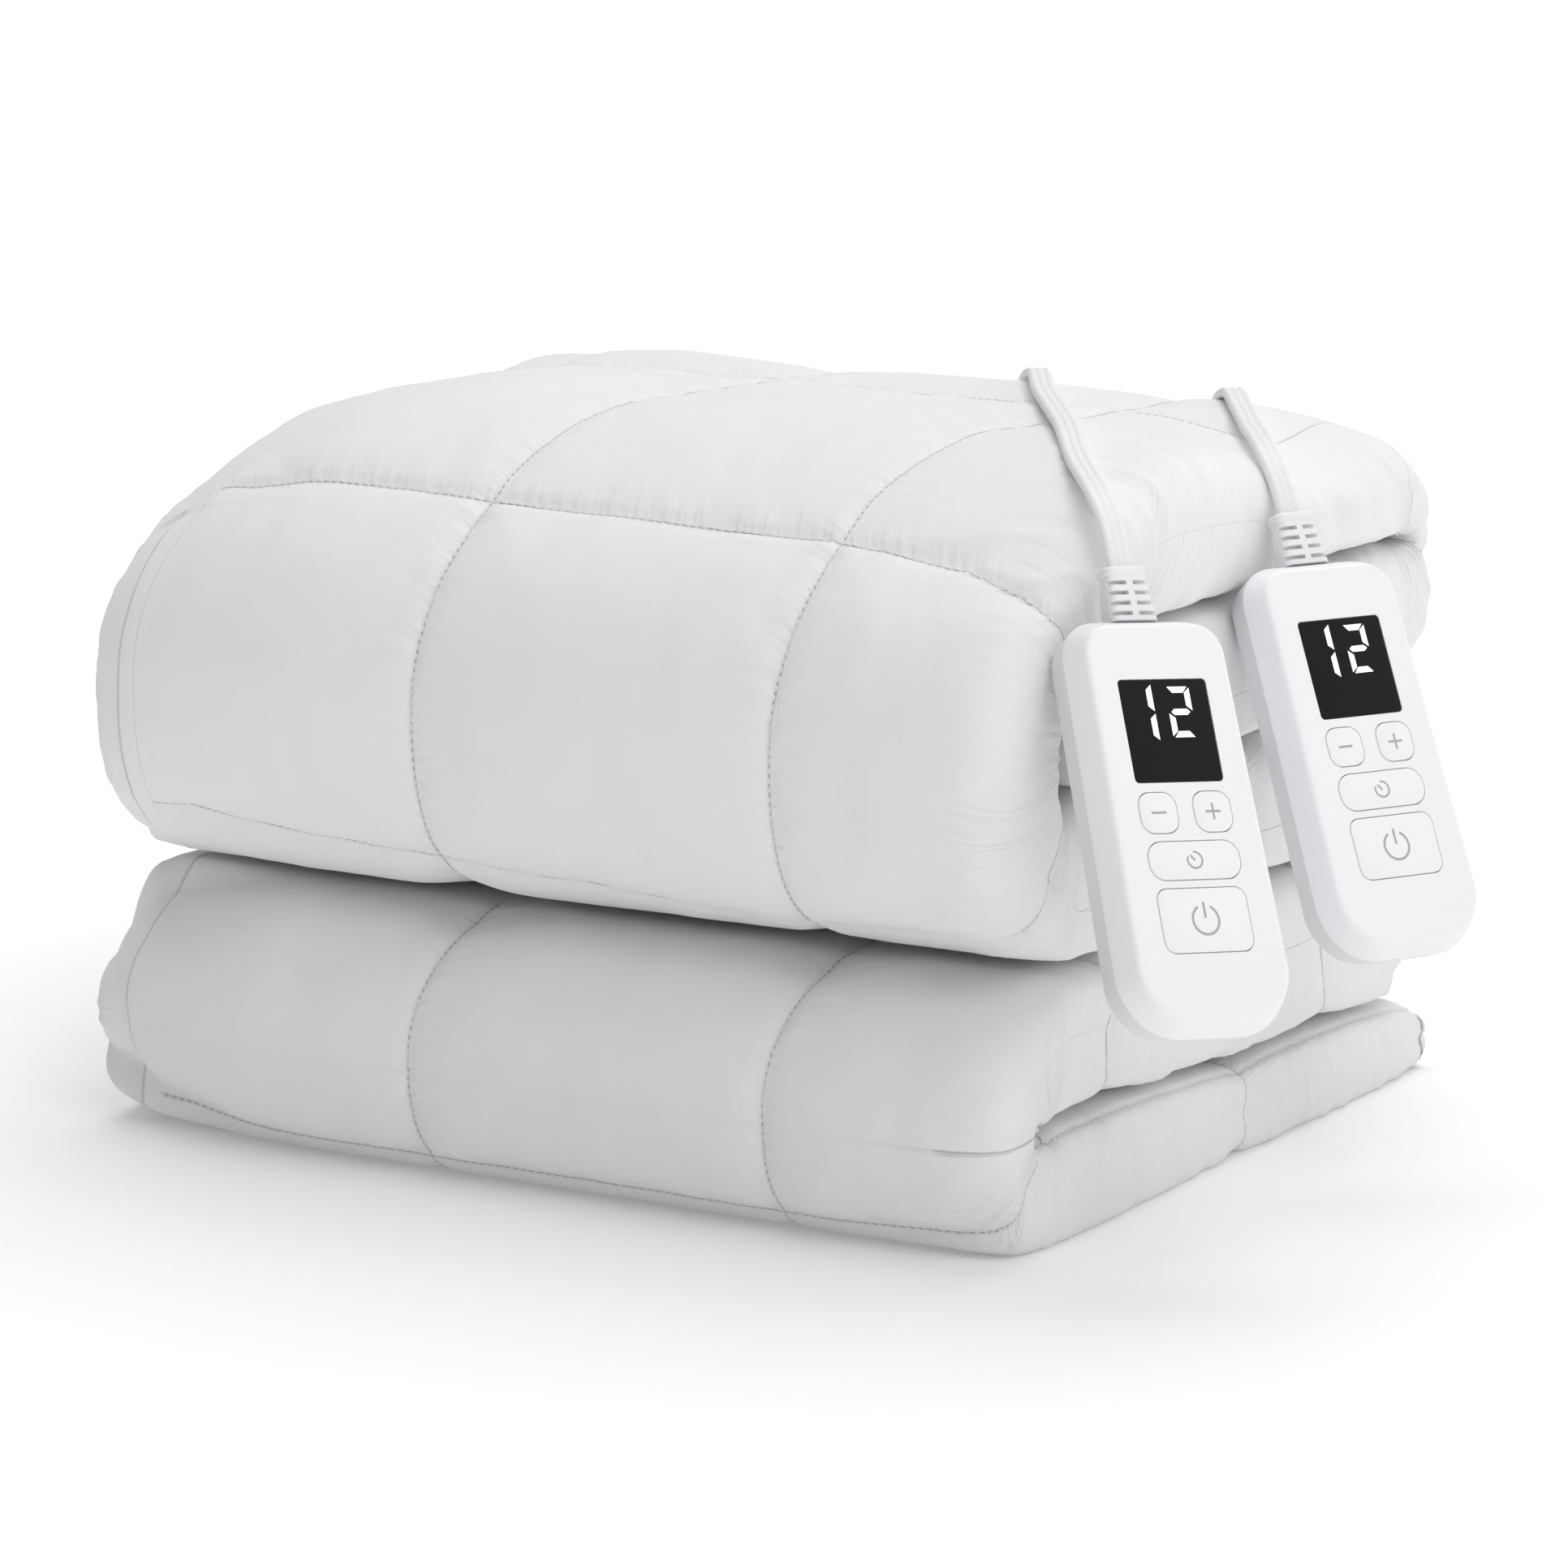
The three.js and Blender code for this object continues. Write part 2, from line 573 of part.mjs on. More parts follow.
// The slotted strain relief: a tapered body with a collar, cut by rows of slots beside a spine
function reliefGeometry() {
  const ring = (width, thickness, y) => {
    const points = roundedRectangle(width, thickness, RELIEF.corner).getPoints(RELIEF_CORNER_STEPS);
    if (points[0].distanceTo(points.at(-1)) < 1e-6) {
      points.pop();
    }
    return points.map((p) => new THREE.Vector3(p.x, y, p.y));
  };
  const collarStart = RELIEF.length - RELIEF.collar;
  const grow = RELIEF.collarGrow;
  const rings = [
    ring(RELIEF.baseWidth, RELIEF.baseThickness, 0),
    ring(RELIEF.topWidth, RELIEF.topThickness, collarStart),
    ring(RELIEF.topWidth + grow, RELIEF.topThickness + grow, collarStart + grow / 2),
    ring(RELIEF.topWidth + grow, RELIEF.topThickness + grow, RELIEF.length - grow),
    ring(RELIEF.topWidth - grow, RELIEF.topThickness - grow, RELIEF.length),
  ];
  let solid = toManifold(loft(rings));
  for (let row = 0; row < RELIEF.slotRows; row += 1) {
    const y = RELIEF.slotFirst + row * RELIEF.slotPitch;
    const t = y / collarStart;
    const width = THREE.MathUtils.lerp(RELIEF.baseWidth, RELIEF.topWidth, t);
    const thickness = THREE.MathUtils.lerp(RELIEF.baseThickness, RELIEF.topThickness, t);
    for (const side of [-1, 1]) {
      for (const face of [-1, 1]) {
        const slot = new THREE.BoxGeometry(width, RELIEF.slotHeight, 2 * RELIEF.slotDepth);
        slot.translate(side * (RELIEF.spine / 2 + width / 2), y, face * (thickness / 2));
        solid = solid.subtract(toManifold(slot));
      }
    }
  }
  return fromManifold(solid);
}

function addController(parent, controller) {
  const yaw = new THREE.Group();
  const tilt = new THREE.Group();
  const body = new THREE.Group();
  yaw.position.fromArray(controller.face);
  yaw.rotation.z = THREE.MathUtils.degToRad(FACE_AZIMUTH);
  tilt.rotation.x = THREE.MathUtils.degToRad(90 - FACE_TILT);
  body.rotation.z = THREE.MathUtils.degToRad(-controller.roll);
  parent.add(yaw);
  yaw.add(tilt);
  tilt.add(body);
  const name = (piece) => `${controller.name}_${piece}`;
  addMesh(body, name('housing'), housingGeometry(), 'housing');
  const { width, height, corner, thickness, recess, y } = DISPLAY;
  const glass = roundedBlock(width, height, corner, FIT - recess, FIT - recess + thickness);
  addMesh(body, name('display'), glass, 'display').position.y = y;
  for (const key of KEYS) {
    const cap = roundedBlock(key.width, key.height, key.corner, KEY_PROUD - KEY_THICKNESS, KEY_PROUD);
    addMesh(body, name(`key_${key.name}`), cap, 'key').position.set(key.x, key.y, 0);
  }
  const relief = addMesh(body, name('strain_relief'), reliefGeometry(), 'rubber');
  relief.position.set(0, CONTROLLER.length / 2 + FIT, -RELIEF.depth);
  body.updateWorldMatrix(true, false);
  const outletY = CONTROLLER.length / 2 + 2 * FIT + RELIEF.length;
  return {
    outlet: body.localToWorld(new THREE.Vector3(0, outletY, -RELIEF.depth)),
    ahead: body.localToWorld(new THREE.Vector3(0, outletY + CORD_STRAIGHT, -RELIEF.depth)),
    across: body.localToWorld(new THREE.Vector3(1, outletY, -RELIEF.depth)),
  };
}

// The cord's flat section, turned so that its width starts along the given direction
function cordSection(path, steps, across) {
  const frame = path.computeFrenetFrames(steps, false);
  const angle = Math.atan2(across.dot(frame.binormals[0]), across.dot(frame.normals[0]));
  const w = CORD.width / 2;
  const t = CORD.thickness / 2;
  const cut = CORD.corner;
  const corners = [
    [-w, -t + cut], [-w + cut, -t], [w - cut, -t], [w, -t + cut],
    [w, t - cut], [w - cut, t], [-w + cut, t], [-w, t - cut],
  ];
  const turned = corners.map(([x, y]) => new THREE.Vector2(x, y).rotateAround(new THREE.Vector2(), angle));
  return new THREE.Shape(turned);
}

// The cord's free stretch, its coil on the floor behind the stack and the connector on its end
function addCord(parent, controller, exit) {
  const route = CORD_ROUTES[controller.name];
  const points = [exit.outlet, exit.ahead, ...route.points.map((p) => new THREE.Vector3(...p))];
  const path = new THREE.CatmullRomCurve3(points, false, 'centripetal');
  const steps = Math.round(path.getLength() / CORD_STEP);
  const across = exit.across.clone().sub(exit.outlet).normalize();
  const tube = new THREE.ExtrudeGeometry(cordSection(path, steps, across), {
    steps, extrudePath: path, bevelEnabled: false,
  });
  addMesh(parent, `${controller.name}_cord`, tube, 'rubber');

  // the coil is a ring turned from its wall's section
  const outer = route.coilRadius;
  const middle = outer - COIL.wall / 2;
  const section = roundedRectangle(COIL.wall, COIL.height, COIL.corner).getPoints(COIL_CORNER_STEPS);
  const profile = section.map((p) => new THREE.Vector2(middle + p.x, p.y + COIL.height / 2));
  const ring = new THREE.LatheGeometry(profile, COIL.sides).rotateX(Math.PI / 2);
  const coil = addMesh(parent, `${controller.name}_coil`, ring, 'rubber');
  coil.position.set(route.coilX, route.coilY, 0);

  // the connector lies beside the coil, in line with the cord that leaves it at the back
  const { length, width, height, corner, neckLength, neckWidth, neckHeight, neckCorner } = CONNECTOR;
  const tailY = outer + CORD_ASIDE;
  const neckEdge = tailY - neckWidth / 2;
  const startX = Math.sqrt(outer ** 2 - neckEdge ** 2) + FIT;
  const block = roundedBlock(length, width, corner, 0, height).translate(-neckLength - length / 2, 0, 0);
  const neck = roundedBlock(neckLength + corner, neckWidth, neckCorner, 0, neckHeight);
  neck.translate(-(neckLength + corner) / 2, 0, 0);
  const shell = fromManifold(toManifold(block).add(toManifold(neck)));
  const plug = addMesh(parent, `${controller.name}_connector`, shell, 'rubber');
  plug.position.set(route.coilX - startX, route.coilY + tailY, 0);
}

addMesh(part, 'pad', padGeometry(), 'cloth');
const exits = CONTROLLERS.map((controller) => addController(part, controller));

// The origin is under the middle of the pad and its controllers, without the cords
part.updateMatrixWorld(true);
const middle = new THREE.Box3().setFromObject(part, true).getCenter(new THREE.Vector3());
CONTROLLERS.forEach((controller, number) => addCord(part, controller, exits[number]));
part.position.set(-middle.x, -middle.y, 0);

export default part;
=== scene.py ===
import math

import bmesh
import bpy
import numpy as np
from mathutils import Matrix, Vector


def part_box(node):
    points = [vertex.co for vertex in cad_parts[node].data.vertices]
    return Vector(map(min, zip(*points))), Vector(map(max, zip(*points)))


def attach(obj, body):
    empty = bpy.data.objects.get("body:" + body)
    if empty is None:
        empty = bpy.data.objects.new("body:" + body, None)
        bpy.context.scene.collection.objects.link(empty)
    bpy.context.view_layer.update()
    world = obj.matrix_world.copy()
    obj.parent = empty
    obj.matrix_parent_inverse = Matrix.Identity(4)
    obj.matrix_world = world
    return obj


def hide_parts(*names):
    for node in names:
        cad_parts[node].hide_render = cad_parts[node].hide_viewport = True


# A quilted heated mattress pad, folded into a stack, with its two hand controllers on flat cords.
# The tables are in millimetres, in the pad's own frame: x along the stack's width, y from its front
# folds to its back, z up. Everything that is built is in metres in the part's frame.
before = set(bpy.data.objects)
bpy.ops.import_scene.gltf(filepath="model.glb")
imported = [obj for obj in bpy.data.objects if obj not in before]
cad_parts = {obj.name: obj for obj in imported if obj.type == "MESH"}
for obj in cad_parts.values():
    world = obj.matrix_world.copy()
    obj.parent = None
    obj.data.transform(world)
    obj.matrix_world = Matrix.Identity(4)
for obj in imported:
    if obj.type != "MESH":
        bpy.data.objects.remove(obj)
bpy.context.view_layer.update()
BODY = "pad_and_controllers"
MM = 0.001
PAD_SHIFT = np.array([-43.680, 4.821, 0.0])   # from the pad's frame to the part's, in millimetres


def place(points):
    """Points of the pad's frame in millimetres, as metres in the part's frame."""
    return (np.asarray(points, float) + PAD_SHIFT) * MM


# Camera: a long lens, turned towards the closed folds and looking down a little
CAMERA_AZIMUTH = math.radians(30.8)
CAMERA_ELEVATION = math.radians(11.9)
CAMERA_DISTANCE = 2.4427
CAMERA_TARGET = Vector(place((9.2, 0.02, 116.9)))
CAMERA_LENS = 156.5
CAMERA_SENSOR = 36.0
CAMERA_REACH = 60.0


def add_camera():
    data = bpy.data.cameras.new("camera")
    data.lens = CAMERA_LENS
    data.sensor_width = CAMERA_SENSOR
    data.clip_end = CAMERA_REACH
    camera = bpy.data.objects.new("camera", data)
    back = Vector((
        math.sin(CAMERA_AZIMUTH) * math.cos(CAMERA_ELEVATION),
        -math.cos(CAMERA_AZIMUTH) * math.cos(CAMERA_ELEVATION),
        math.sin(CAMERA_ELEVATION),
    ))
    camera.location = CAMERA_TARGET + back * CAMERA_DISTANCE
    camera.rotation_euler = back.to_track_quat("Z", "Y").to_euler()
    bpy.context.scene.collection.objects.link(camera)
    bpy.context.scene.camera = camera


# Meshes

def new_piece(name, vertices, faces, materials, smooth_below=None, face_materials=None):
    mesh = bpy.data.meshes.new(name)
    mesh.from_pydata([tuple(map(float, v)) for v in vertices], [], faces)
    mesh.validate()
    mesh.update()
    for material in materials:
        mesh.materials.append(material)
    if face_materials is not None:
        mesh.polygons.foreach_set("material_index", face_materials)
    mesh.shade_smooth()
    if smooth_below is not None:
        mesh.set_sharp_from_angle(angle=math.radians(smooth_below))
    piece = bpy.data.objects.new(name, mesh)
    bpy.context.scene.collection.objects.link(piece)
    return piece


def finished(piece):
    """The piece with its modifiers applied."""
    bpy.context.view_layer.update()
    graph = bpy.context.evaluated_depsgraph_get()
    view = piece.evaluated_get(graph)
    mesh = bpy.data.meshes.new_from_object(view, preserve_all_data_layers=True, depsgraph=graph)
    piece.modifiers.clear()
    old = piece.data
    piece.data = mesh
    mesh.name = piece.name
    if old.users == 0:
        bpy.data.meshes.remove(old)
    return piece


def loft_faces(rings, size):
    """Faces through rings of equal length, closed by one face at each end."""
    faces = []
    for r in range(rings - 1):
        for k in range(size):
            a = r * size + k
            b = r * size + (k + 1) % size
            faces.append((a, b, b + size, a + size))
    faces.append(tuple(reversed(range(size))))
    faces.append(tuple(range((rings - 1) * size, rings * size)))
    return faces


def rounded_outline(width, height, corner, steps=6, shift=(0.0, 0.0)):
    """A rounded rectangle, counter-clockwise."""
    points = []
    turns = ((1, -1, -0.5), (1, 1, 0.0), (-1, 1, 0.5), (-1, -1, 1.0))
    for side, end, start in turns:
        for k in range(steps + 1):
            angle = (start + 0.5 * k / steps) * math.pi
            points.append((
                shift[0] + side * (width / 2 - corner) + corner * math.cos(angle),
                shift[1] + end * (height / 2 - corner) + corner * math.sin(angle),
            ))
    return points


def through(table, steps):
    """A smooth curve through the rows of a table, with a number of steps to each stretch."""
    rows = np.asarray(table, float)
    rows = np.vstack([2 * rows[0] - rows[1], rows, 2 * rows[-1] - rows[-2]])
    out = []
    for k in range(1, len(rows) - 2):
        p0, p1, p2, p3 = rows[k - 1:k + 3]
        for i in range(steps):
            t = i / steps
            out.append(0.5 * (2 * p1 + (p2 - p0) * t + (2 * p0 - 5 * p1 + 4 * p2 - p3) * t * t
                              + (3 * p1 - p0 - 3 * p2 + p3) * t ** 3))
    out.append(rows[-2])
    return np.array(out)


def smooth_step(low, high, value):
    t = np.clip((value - low) / (high - low), 0.0, 1.0)
    return t * t * (3 - 2 * t)


NOISE_SIZE = 256
NOISE_SEED = 11
NOISE_TABLE = np.random.default_rng(NOISE_SEED).uniform(-1.0, 1.0, (NOISE_SIZE, NOISE_SIZE))
NOISE_STRIDE = (17.3, 9.7)   # how far apart two seeds read the table, both ways


def cloth_noise(a, b, seed=0):
    """Smooth noise from -1 to 1 over two coordinates."""
    a, b = (np.asarray(v, float) + stride * seed for v, stride in zip((a, b), NOISE_STRIDE))
    a, b = np.broadcast_arrays(a, b)
    ia = np.floor(a).astype(int)
    ib = np.floor(b).astype(int)
    fa = a - ia
    fb = b - ib
    fa = fa ** 3 * (fa * (fa * 6 - 15) + 10)
    fb = fb ** 3 * (fb * (fb * 6 - 15) + 10)
    i0, i1 = ia % NOISE_SIZE, (ia + 1) % NOISE_SIZE
    j0, j1 = ib % NOISE_SIZE, (ib + 1) % NOISE_SIZE
    low = NOISE_TABLE[i0, j0] * (1 - fa) + NOISE_TABLE[i1, j0] * fa
    high = NOISE_TABLE[i0, j1] * (1 - fa) + NOISE_TABLE[i1, j1] * fa
    return low * (1 - fb) + high * fb


# Materials: one class carries a socket through sums, the others make a tree's nodes

class Value:
    """What a node gives, with arithmetic that adds Math nodes."""

    def __init__(self, finish, socket):
        self.finish = finish
        self.socket = socket

    def calculate(self, operation, *values):
        return self.finish.node("ShaderNodeMath", {"operation": operation}, dict(enumerate(values)))

    def __add__(self, other):
        return self.calculate("ADD", self, other)

    def __radd__(self, other):
        return self.calculate("ADD", other, self)

    def __sub__(self, other):
        return self.calculate("SUBTRACT", self, other)

    def __rsub__(self, other):
        return self.calculate("SUBTRACT", other, self)

    def __mul__(self, other):
        return self.calculate("MULTIPLY", self, other)

    def __rmul__(self, other):
        return self.calculate("MULTIPLY", other, self)

    def __truediv__(self, other):
        return self.calculate("DIVIDE", self, other)

    def absolute(self):
        return self.calculate("ABSOLUTE", self)

    def sine(self):
        return self.calculate("SINE", self)

    def exponent(self):
        return self.calculate("EXPONENT", self)

    def root(self):
        return self.calculate("SQRT", self)

    def folded(self, pitch):
        """How far it is from the nearest whole number of pitches."""
        return self.calculate("PINGPONG", self, pitch / 2)

    def at_least(self, other):
        return self.calculate("MAXIMUM", self, other)

    def at_most(self, other):
        return self.calculate("MINIMUM", self, other)

    def below(self, other):
        return self.calculate("LESS_THAN", self, other)


class NodeTree:
    """Makes nodes, sets them and links their sockets."""

    def __init__(self, tree):
        self.nodes = tree.nodes
        self.links = tree.links

    def node(self, kind, settings=None, inputs=None, output=0):
        node = self.nodes.new(kind)
        for name, value in (settings or {}).items():
            setattr(node, name, value)
        for name, value in (inputs or {}).items():
            self.feed(node.inputs[name], value)
        return Value(self, node.outputs[output])

    def feed(self, socket, value):
        if isinstance(value, Value):
            self.links.new(value.socket, socket)
        else:
            socket.default_value = value

    def vector(self, x, y, z=0.0):
        return self.node("ShaderNodeCombineXYZ", None, {"X": x, "Y": y, "Z": z})

    def eased(self, value, low, high, start, stop):
        """From start to stop as the value goes from low to high, with soft ends."""
        return self.node("ShaderNodeMapRange", {"interpolation_type": "SMOOTHSTEP"}, {
            "Value": value, "From Min": low, "From Max": high, "To Min": start, "To Max": stop,
        })


class Finish(NodeTree):
    """A material, and the nodes that vary it."""

    def __init__(self, name):
        self.material = bpy.data.materials.new(name)
        self.material.use_nodes = True
        super().__init__(self.material.node_tree)
        self.shader = self.nodes["Principled BSDF"]

    def surface(self, **inputs):
        """Feeds the shader's sockets by name; constants are set on them."""
        for name, value in inputs.items():
            self.feed(self.shader.inputs[name.replace("_", " ")], value)
        return self.material

    def place(self):
        return self.node("ShaderNodeTexCoord", output="Object")

    def flat(self):
        """The piece's own flat coordinates in metres: across and along."""
        return self.parts(self.node("ShaderNodeUVMap", {"uv_map": "flat"}))[:2]

    def attribute(self, name, output="Fac"):
        return self.node("ShaderNodeAttribute", {"attribute_name": name}, output=output)

    def parts(self, vector):
        node = self.nodes.new("ShaderNodeSeparateXYZ")
        self.feed(node.inputs[0], vector)
        return [Value(self, node.outputs[axis]) for axis in "XYZ"]

    def noise(self, vector, scale, detail=2.0, roughness=0.5):
        inputs = {"Vector": vector, "Scale": scale, "Detail": detail, "Roughness": roughness}
        return self.node("ShaderNodeTexNoise", None, inputs)

    def blend(self, factor, first, second):
        """One colour where factor is 0, the other where it is 1."""
        node = self.nodes.new("ShaderNodeMix")
        node.data_type = "RGBA"
        self.feed(node.inputs[0], factor)
        self.feed(node.inputs[6], first)
        self.feed(node.inputs[7], second)
        return Value(self, node.outputs[2])

    def bump(self, height, strength=1.0):
        """A surface normal from a height in metres."""
        return self.node("ShaderNodeBump", None, {"Strength": strength, "Distance": 1.0, "Height": height})


CLOTH_WHITE = (0.855, 0.858, 0.865, 1.0)
CLOTH_SHADE = (0.80, 0.805, 0.815, 1.0)
# painted shade for the needle holes, the seam grooves and the border crease
SEAM_PAINTED_SHADE = (0.34, 0.345, 0.355, 1.0)
THREAD_WHITE = (0.80, 0.80, 0.80, 1.0)
WEAVE_PITCH = 0.55 * MM
WEAVE_HEIGHT = 0.012 * MM
CREASE_HEIGHT = 0.5 * MM
SLUB_HEIGHT = 0.02 * MM
STITCH_PITCH = 3.4 * MM
STITCH_LENGTH = 2.5 * MM
THREAD_RADIUS = 0.27 * MM
PUCKER_REACH = 7.5 * MM
PUCKER_HEIGHT = 1.9 * MM
PUCKER_LIP = 1.2 * MM
HOLE_RADIUS = 0.34 * MM
HOLE_SHARE = 0.1                # of the square of the distance along a seam: holes are longer than wide
GROOVE_WIDTH = 0.5 * MM
GATHER_HEIGHT = 3.0 * MM
BORDER_LINE = 0.6 * MM
BORDER_LINE_DEPTH = 0.5 * MM


def cloth_finish():
    """Fine white weave, with what the sewing does to it and the gathers beside the closed edge."""
    finish = Finish("quilted_cloth")
    across, along = finish.flat()
    warp = (across * (2 * math.pi / WEAVE_PITCH)).sine()
    weft = (along * (2 * math.pi / WEAVE_PITCH)).sine()
    weave = warp * weft * WEAVE_HEIGHT
    creases = finish.noise(finish.vector(across * 60.0, along * 24.0), 1.0, 3.0, 0.55) * CREASE_HEIGHT
    slubs = finish.noise(finish.vector(across * 900.0, along * 160.0), 1.0, 2.0, 0.6)
    # beside each seam, strokes that slant away from it; on it, a groove with needle holes, both darkened
    # with painted shade
    cross, length, hem = finish.parts(finish.attribute("seam_gaps", "Vector"))
    puckers, holes, groove_shade = 0.0, 0.0, 0.0
    for seam, run in ((cross, across), (length, along), (hem, along)):
        away = seam.absolute()
        strokes = finish.noise(finish.vector(run * 190.0 + away * 80.0, away * 45.0), 1.0, 2.0, 0.5)
        lip = (away * (-1 / PUCKER_REACH)).exponent() * (away / PUCKER_LIP).at_most(1.0)
        puckers = (strokes - 0.5) * lip * PUCKER_HEIGHT + puckers
        beside = run.folded(STITCH_PITCH)
        hole = (seam * seam + beside * beside * HOLE_SHARE).root().below(HOLE_RADIUS)
        holes = hole.at_least(holes)
        groove_shade = (seam * seam * (-1 / GROOVE_WIDTH ** 2)).exponent().at_least(groove_shade)
    # gathers where the cloth is pushed together
    u, v, strength = finish.parts(finish.attribute("gathers", "Vector"))
    gathers = finish.noise(finish.vector(u * 120.0, v * 16.0), 1.0, 2.5, 0.5)
    gathers = (gathers - 0.5) * strength * GATHER_HEIGHT
    # the crease along the border's inner edge, darkened with painted shade
    border = finish.attribute("border_gap")
    line = (border * border * (-1 / BORDER_LINE ** 2)).exponent()
    tone = finish.noise(finish.vector(across * 14.0, along * 14.0), 1.0, 2.0, 0.5)
    cloth = finish.blend(tone * 0.5 + slubs * 0.15, CLOTH_WHITE, CLOTH_SHADE)
    height = weave + creases + puckers + gathers + slubs * SLUB_HEIGHT - line * BORDER_LINE_DEPTH
    # painted shade: the needle holes, seam grooves and border crease are coloured darker
    finish.surface(
        Base_Color=finish.blend(holes * 0.5 + groove_shade * 0.22 + line * 0.35, cloth, SEAM_PAINTED_SHADE),
        Roughness=0.8 + slubs * 0.1,
        Normal=finish.bump(height),
        Sheen_Weight=0.12,
        Sheen_Roughness=0.5,
        Specular_IOR_Level=0.3,
    )
    return finish.material


def thread_finish():
    """White sewing thread with a fine twist."""
    finish = Finish("quilting_thread")
    twist = finish.noise(finish.place(), 2600.0, 2.0)
    finish.surface(
        Base_Color=finish.blend(twist * 0.4, THREAD_WHITE, CLOTH_SHADE),
        Roughness=0.6 + twist * 0.2,
        Normal=finish.bump(twist * (0.03 * MM)),
    )
    return finish.material


def plastic_finish(name, color, shade, roughness):
    """Moulded satin plastic: a fine spark-eroded grain and faint handling marks."""
    finish = Finish(name)
    place = finish.place()
    grain = finish.noise(place, 3800.0, 2.0, 0.6)
    marks = finish.noise(place, 55.0, 3.0, 0.55)
    finish.surface(
        Base_Color=finish.blend(marks * 0.5, color, shade),
        Roughness=roughness + grain * 0.08 + marks * 0.06,
        Normal=finish.bump(grain * (0.006 * MM)),
        Specular_IOR_Level=0.45,
    )
    return finish.material


def glass_finish():
    """Dark display window, with faint smears."""
    finish = Finish("display_window")
    smears = finish.noise(finish.place(), 140.0, 4.0, 0.6)
    finish.surface(
        Base_Color=finish.blend(smears, (0.010, 0.010, 0.0105, 1.0), (0.013, 0.013, 0.0138, 1.0)),
        Roughness=0.3 + smears * 0.08,
        Normal=finish.bump(smears * (0.002 * MM)),
        Specular_IOR_Level=0.12,
    )
    return finish.material


def lit_finish():
    """The display's lit segments."""
    finish = Finish("display_segments")
    glow = finish.noise(finish.place(), 900.0, 2.0)
    color = finish.blend(glow * 0.2, (0.95, 0.96, 0.97, 1.0), (0.86, 0.87, 0.88, 1.0))
    finish.surface(
        Base_Color=color,
        Emission_Color=color,
        Emission_Strength=0.55,
        Roughness=0.5 + glow * 0.05,
    )
    return finish.material


def mark_finish():
    """Grey print of the keys' symbols."""
    finish = Finish("key_print")
    ink = finish.noise(finish.place(), 2200.0, 2.0)
    finish.surface(
        Base_Color=finish.blend(ink * 0.5, (0.40, 0.405, 0.415, 1.0), (0.47, 0.475, 0.485, 1.0)),
        Roughness=0.5 + ink * 0.1,
    )
    return finish.material


CLOTH = cloth_finish()
THREAD = thread_finish()
HOUSING = plastic_finish("controller_plastic", (0.90, 0.905, 0.925, 1.0), (0.88, 0.886, 0.908, 1.0), 0.32)
# painted shade: a greyer copy of the controller plastic, for the housing's shaded sides and rim
SHADED_SIDE_PLASTIC = plastic_finish(
    "controller_painted_shade_plastic", (0.78, 0.785, 0.80, 1.0), (0.76, 0.765, 0.782, 1.0), 0.38,
)
KEYCAP = plastic_finish("key_plastic", (0.905, 0.91, 0.928, 1.0), (0.885, 0.89, 0.91, 1.0), 0.34)
CORD_JACKET = plastic_finish("cord_jacket", (0.84, 0.845, 0.855, 1.0), (0.80, 0.806, 0.818, 1.0), 0.46)
STRAIN_RELIEF = plastic_finish("strain_relief", (0.84, 0.845, 0.858, 1.0), (0.81, 0.816, 0.83, 1.0), 0.44)
PLUG = plastic_finish("connector_plastic", (0.83, 0.835, 0.845, 1.0), (0.80, 0.806, 0.816, 1.0), 0.48)
GLASS = glass_finish()
SEGMENT = lit_finish()
PRINT = mark_finish()

# How the two controllers hang: the middle of the face, and the way it looks out
FACE_AZIMUTH = math.radians(61.6)
FACE_TILT = math.radians(27.7)
CONTROLLERS = {
    "front": {"face": (243.5, -138.7, 155.3), "roll": math.radians(5.0)},
    "rear": {"face": (242.9, -1.6, 153.6), "roll": math.radians(0.7)},
}
OUTLET_Y = 90.1        # where the cord leaves the strain relief, from the middle of the face
RELIEF_DEPTH = 12.5    # its middle behind the face
CORD_STRAIGHT = 7.0


def controller_axes(name):
    """The middle of a controller's face, and its directions across, towards the cord and out of the face."""
    out = Vector((
        math.sin(FACE_AZIMUTH) * math.cos(FACE_TILT),
        -math.cos(FACE_AZIMUTH) * math.cos(FACE_TILT),
        math.sin(FACE_TILT),
    ))
    level = Vector((math.cos(FACE_AZIMUTH), math.sin(FACE_AZIMUTH), 0.0))
    upward = out.cross(level)
    roll = CONTROLLERS[name]["roll"]
    along = math.cos(roll) * upward + math.sin(roll) * level
    across = math.cos(roll) * level - math.sin(roll) * upward
    face = Vector(CONTROLLERS[name]["face"])
    return face, across, along, out


def controller_points(name, local):
    """Points of a controller's own frame in millimetres, as metres in the part's frame."""
    face, across, along, out = (np.array(v) for v in controller_axes(name))
    local = np.asarray(local, float)
    return place(face + local[:, :1] * across + local[:, 1:2] * along + local[:, 2:3] * out)


# Cords: a flat lead of three cores side by side, free over the pad and coiled behind it
CORD_WIDTH = 9.0
CORD_THICKNESS = 3.6
CORE_PITCH = 2.7
CORE_VALLEY = 1.35
VALLEY_REACH = 0.2
SECTION_STEPS = 40
CORD_STEPS = 7
# The coil: the height of its lower row and of the next one, the spacing of its turns, and in degrees
# where it starts, how far apart its points are and where it climbs to the upper row
COIL_LOW = 4.9
ROW_HEIGHT = 9.3
TURN_PITCH = 3.8
COIL_CLEARANCE = 0.2
COIL_START = 6.0
COIL_STEP = 12.0
COIL_CLIMB = 720.0
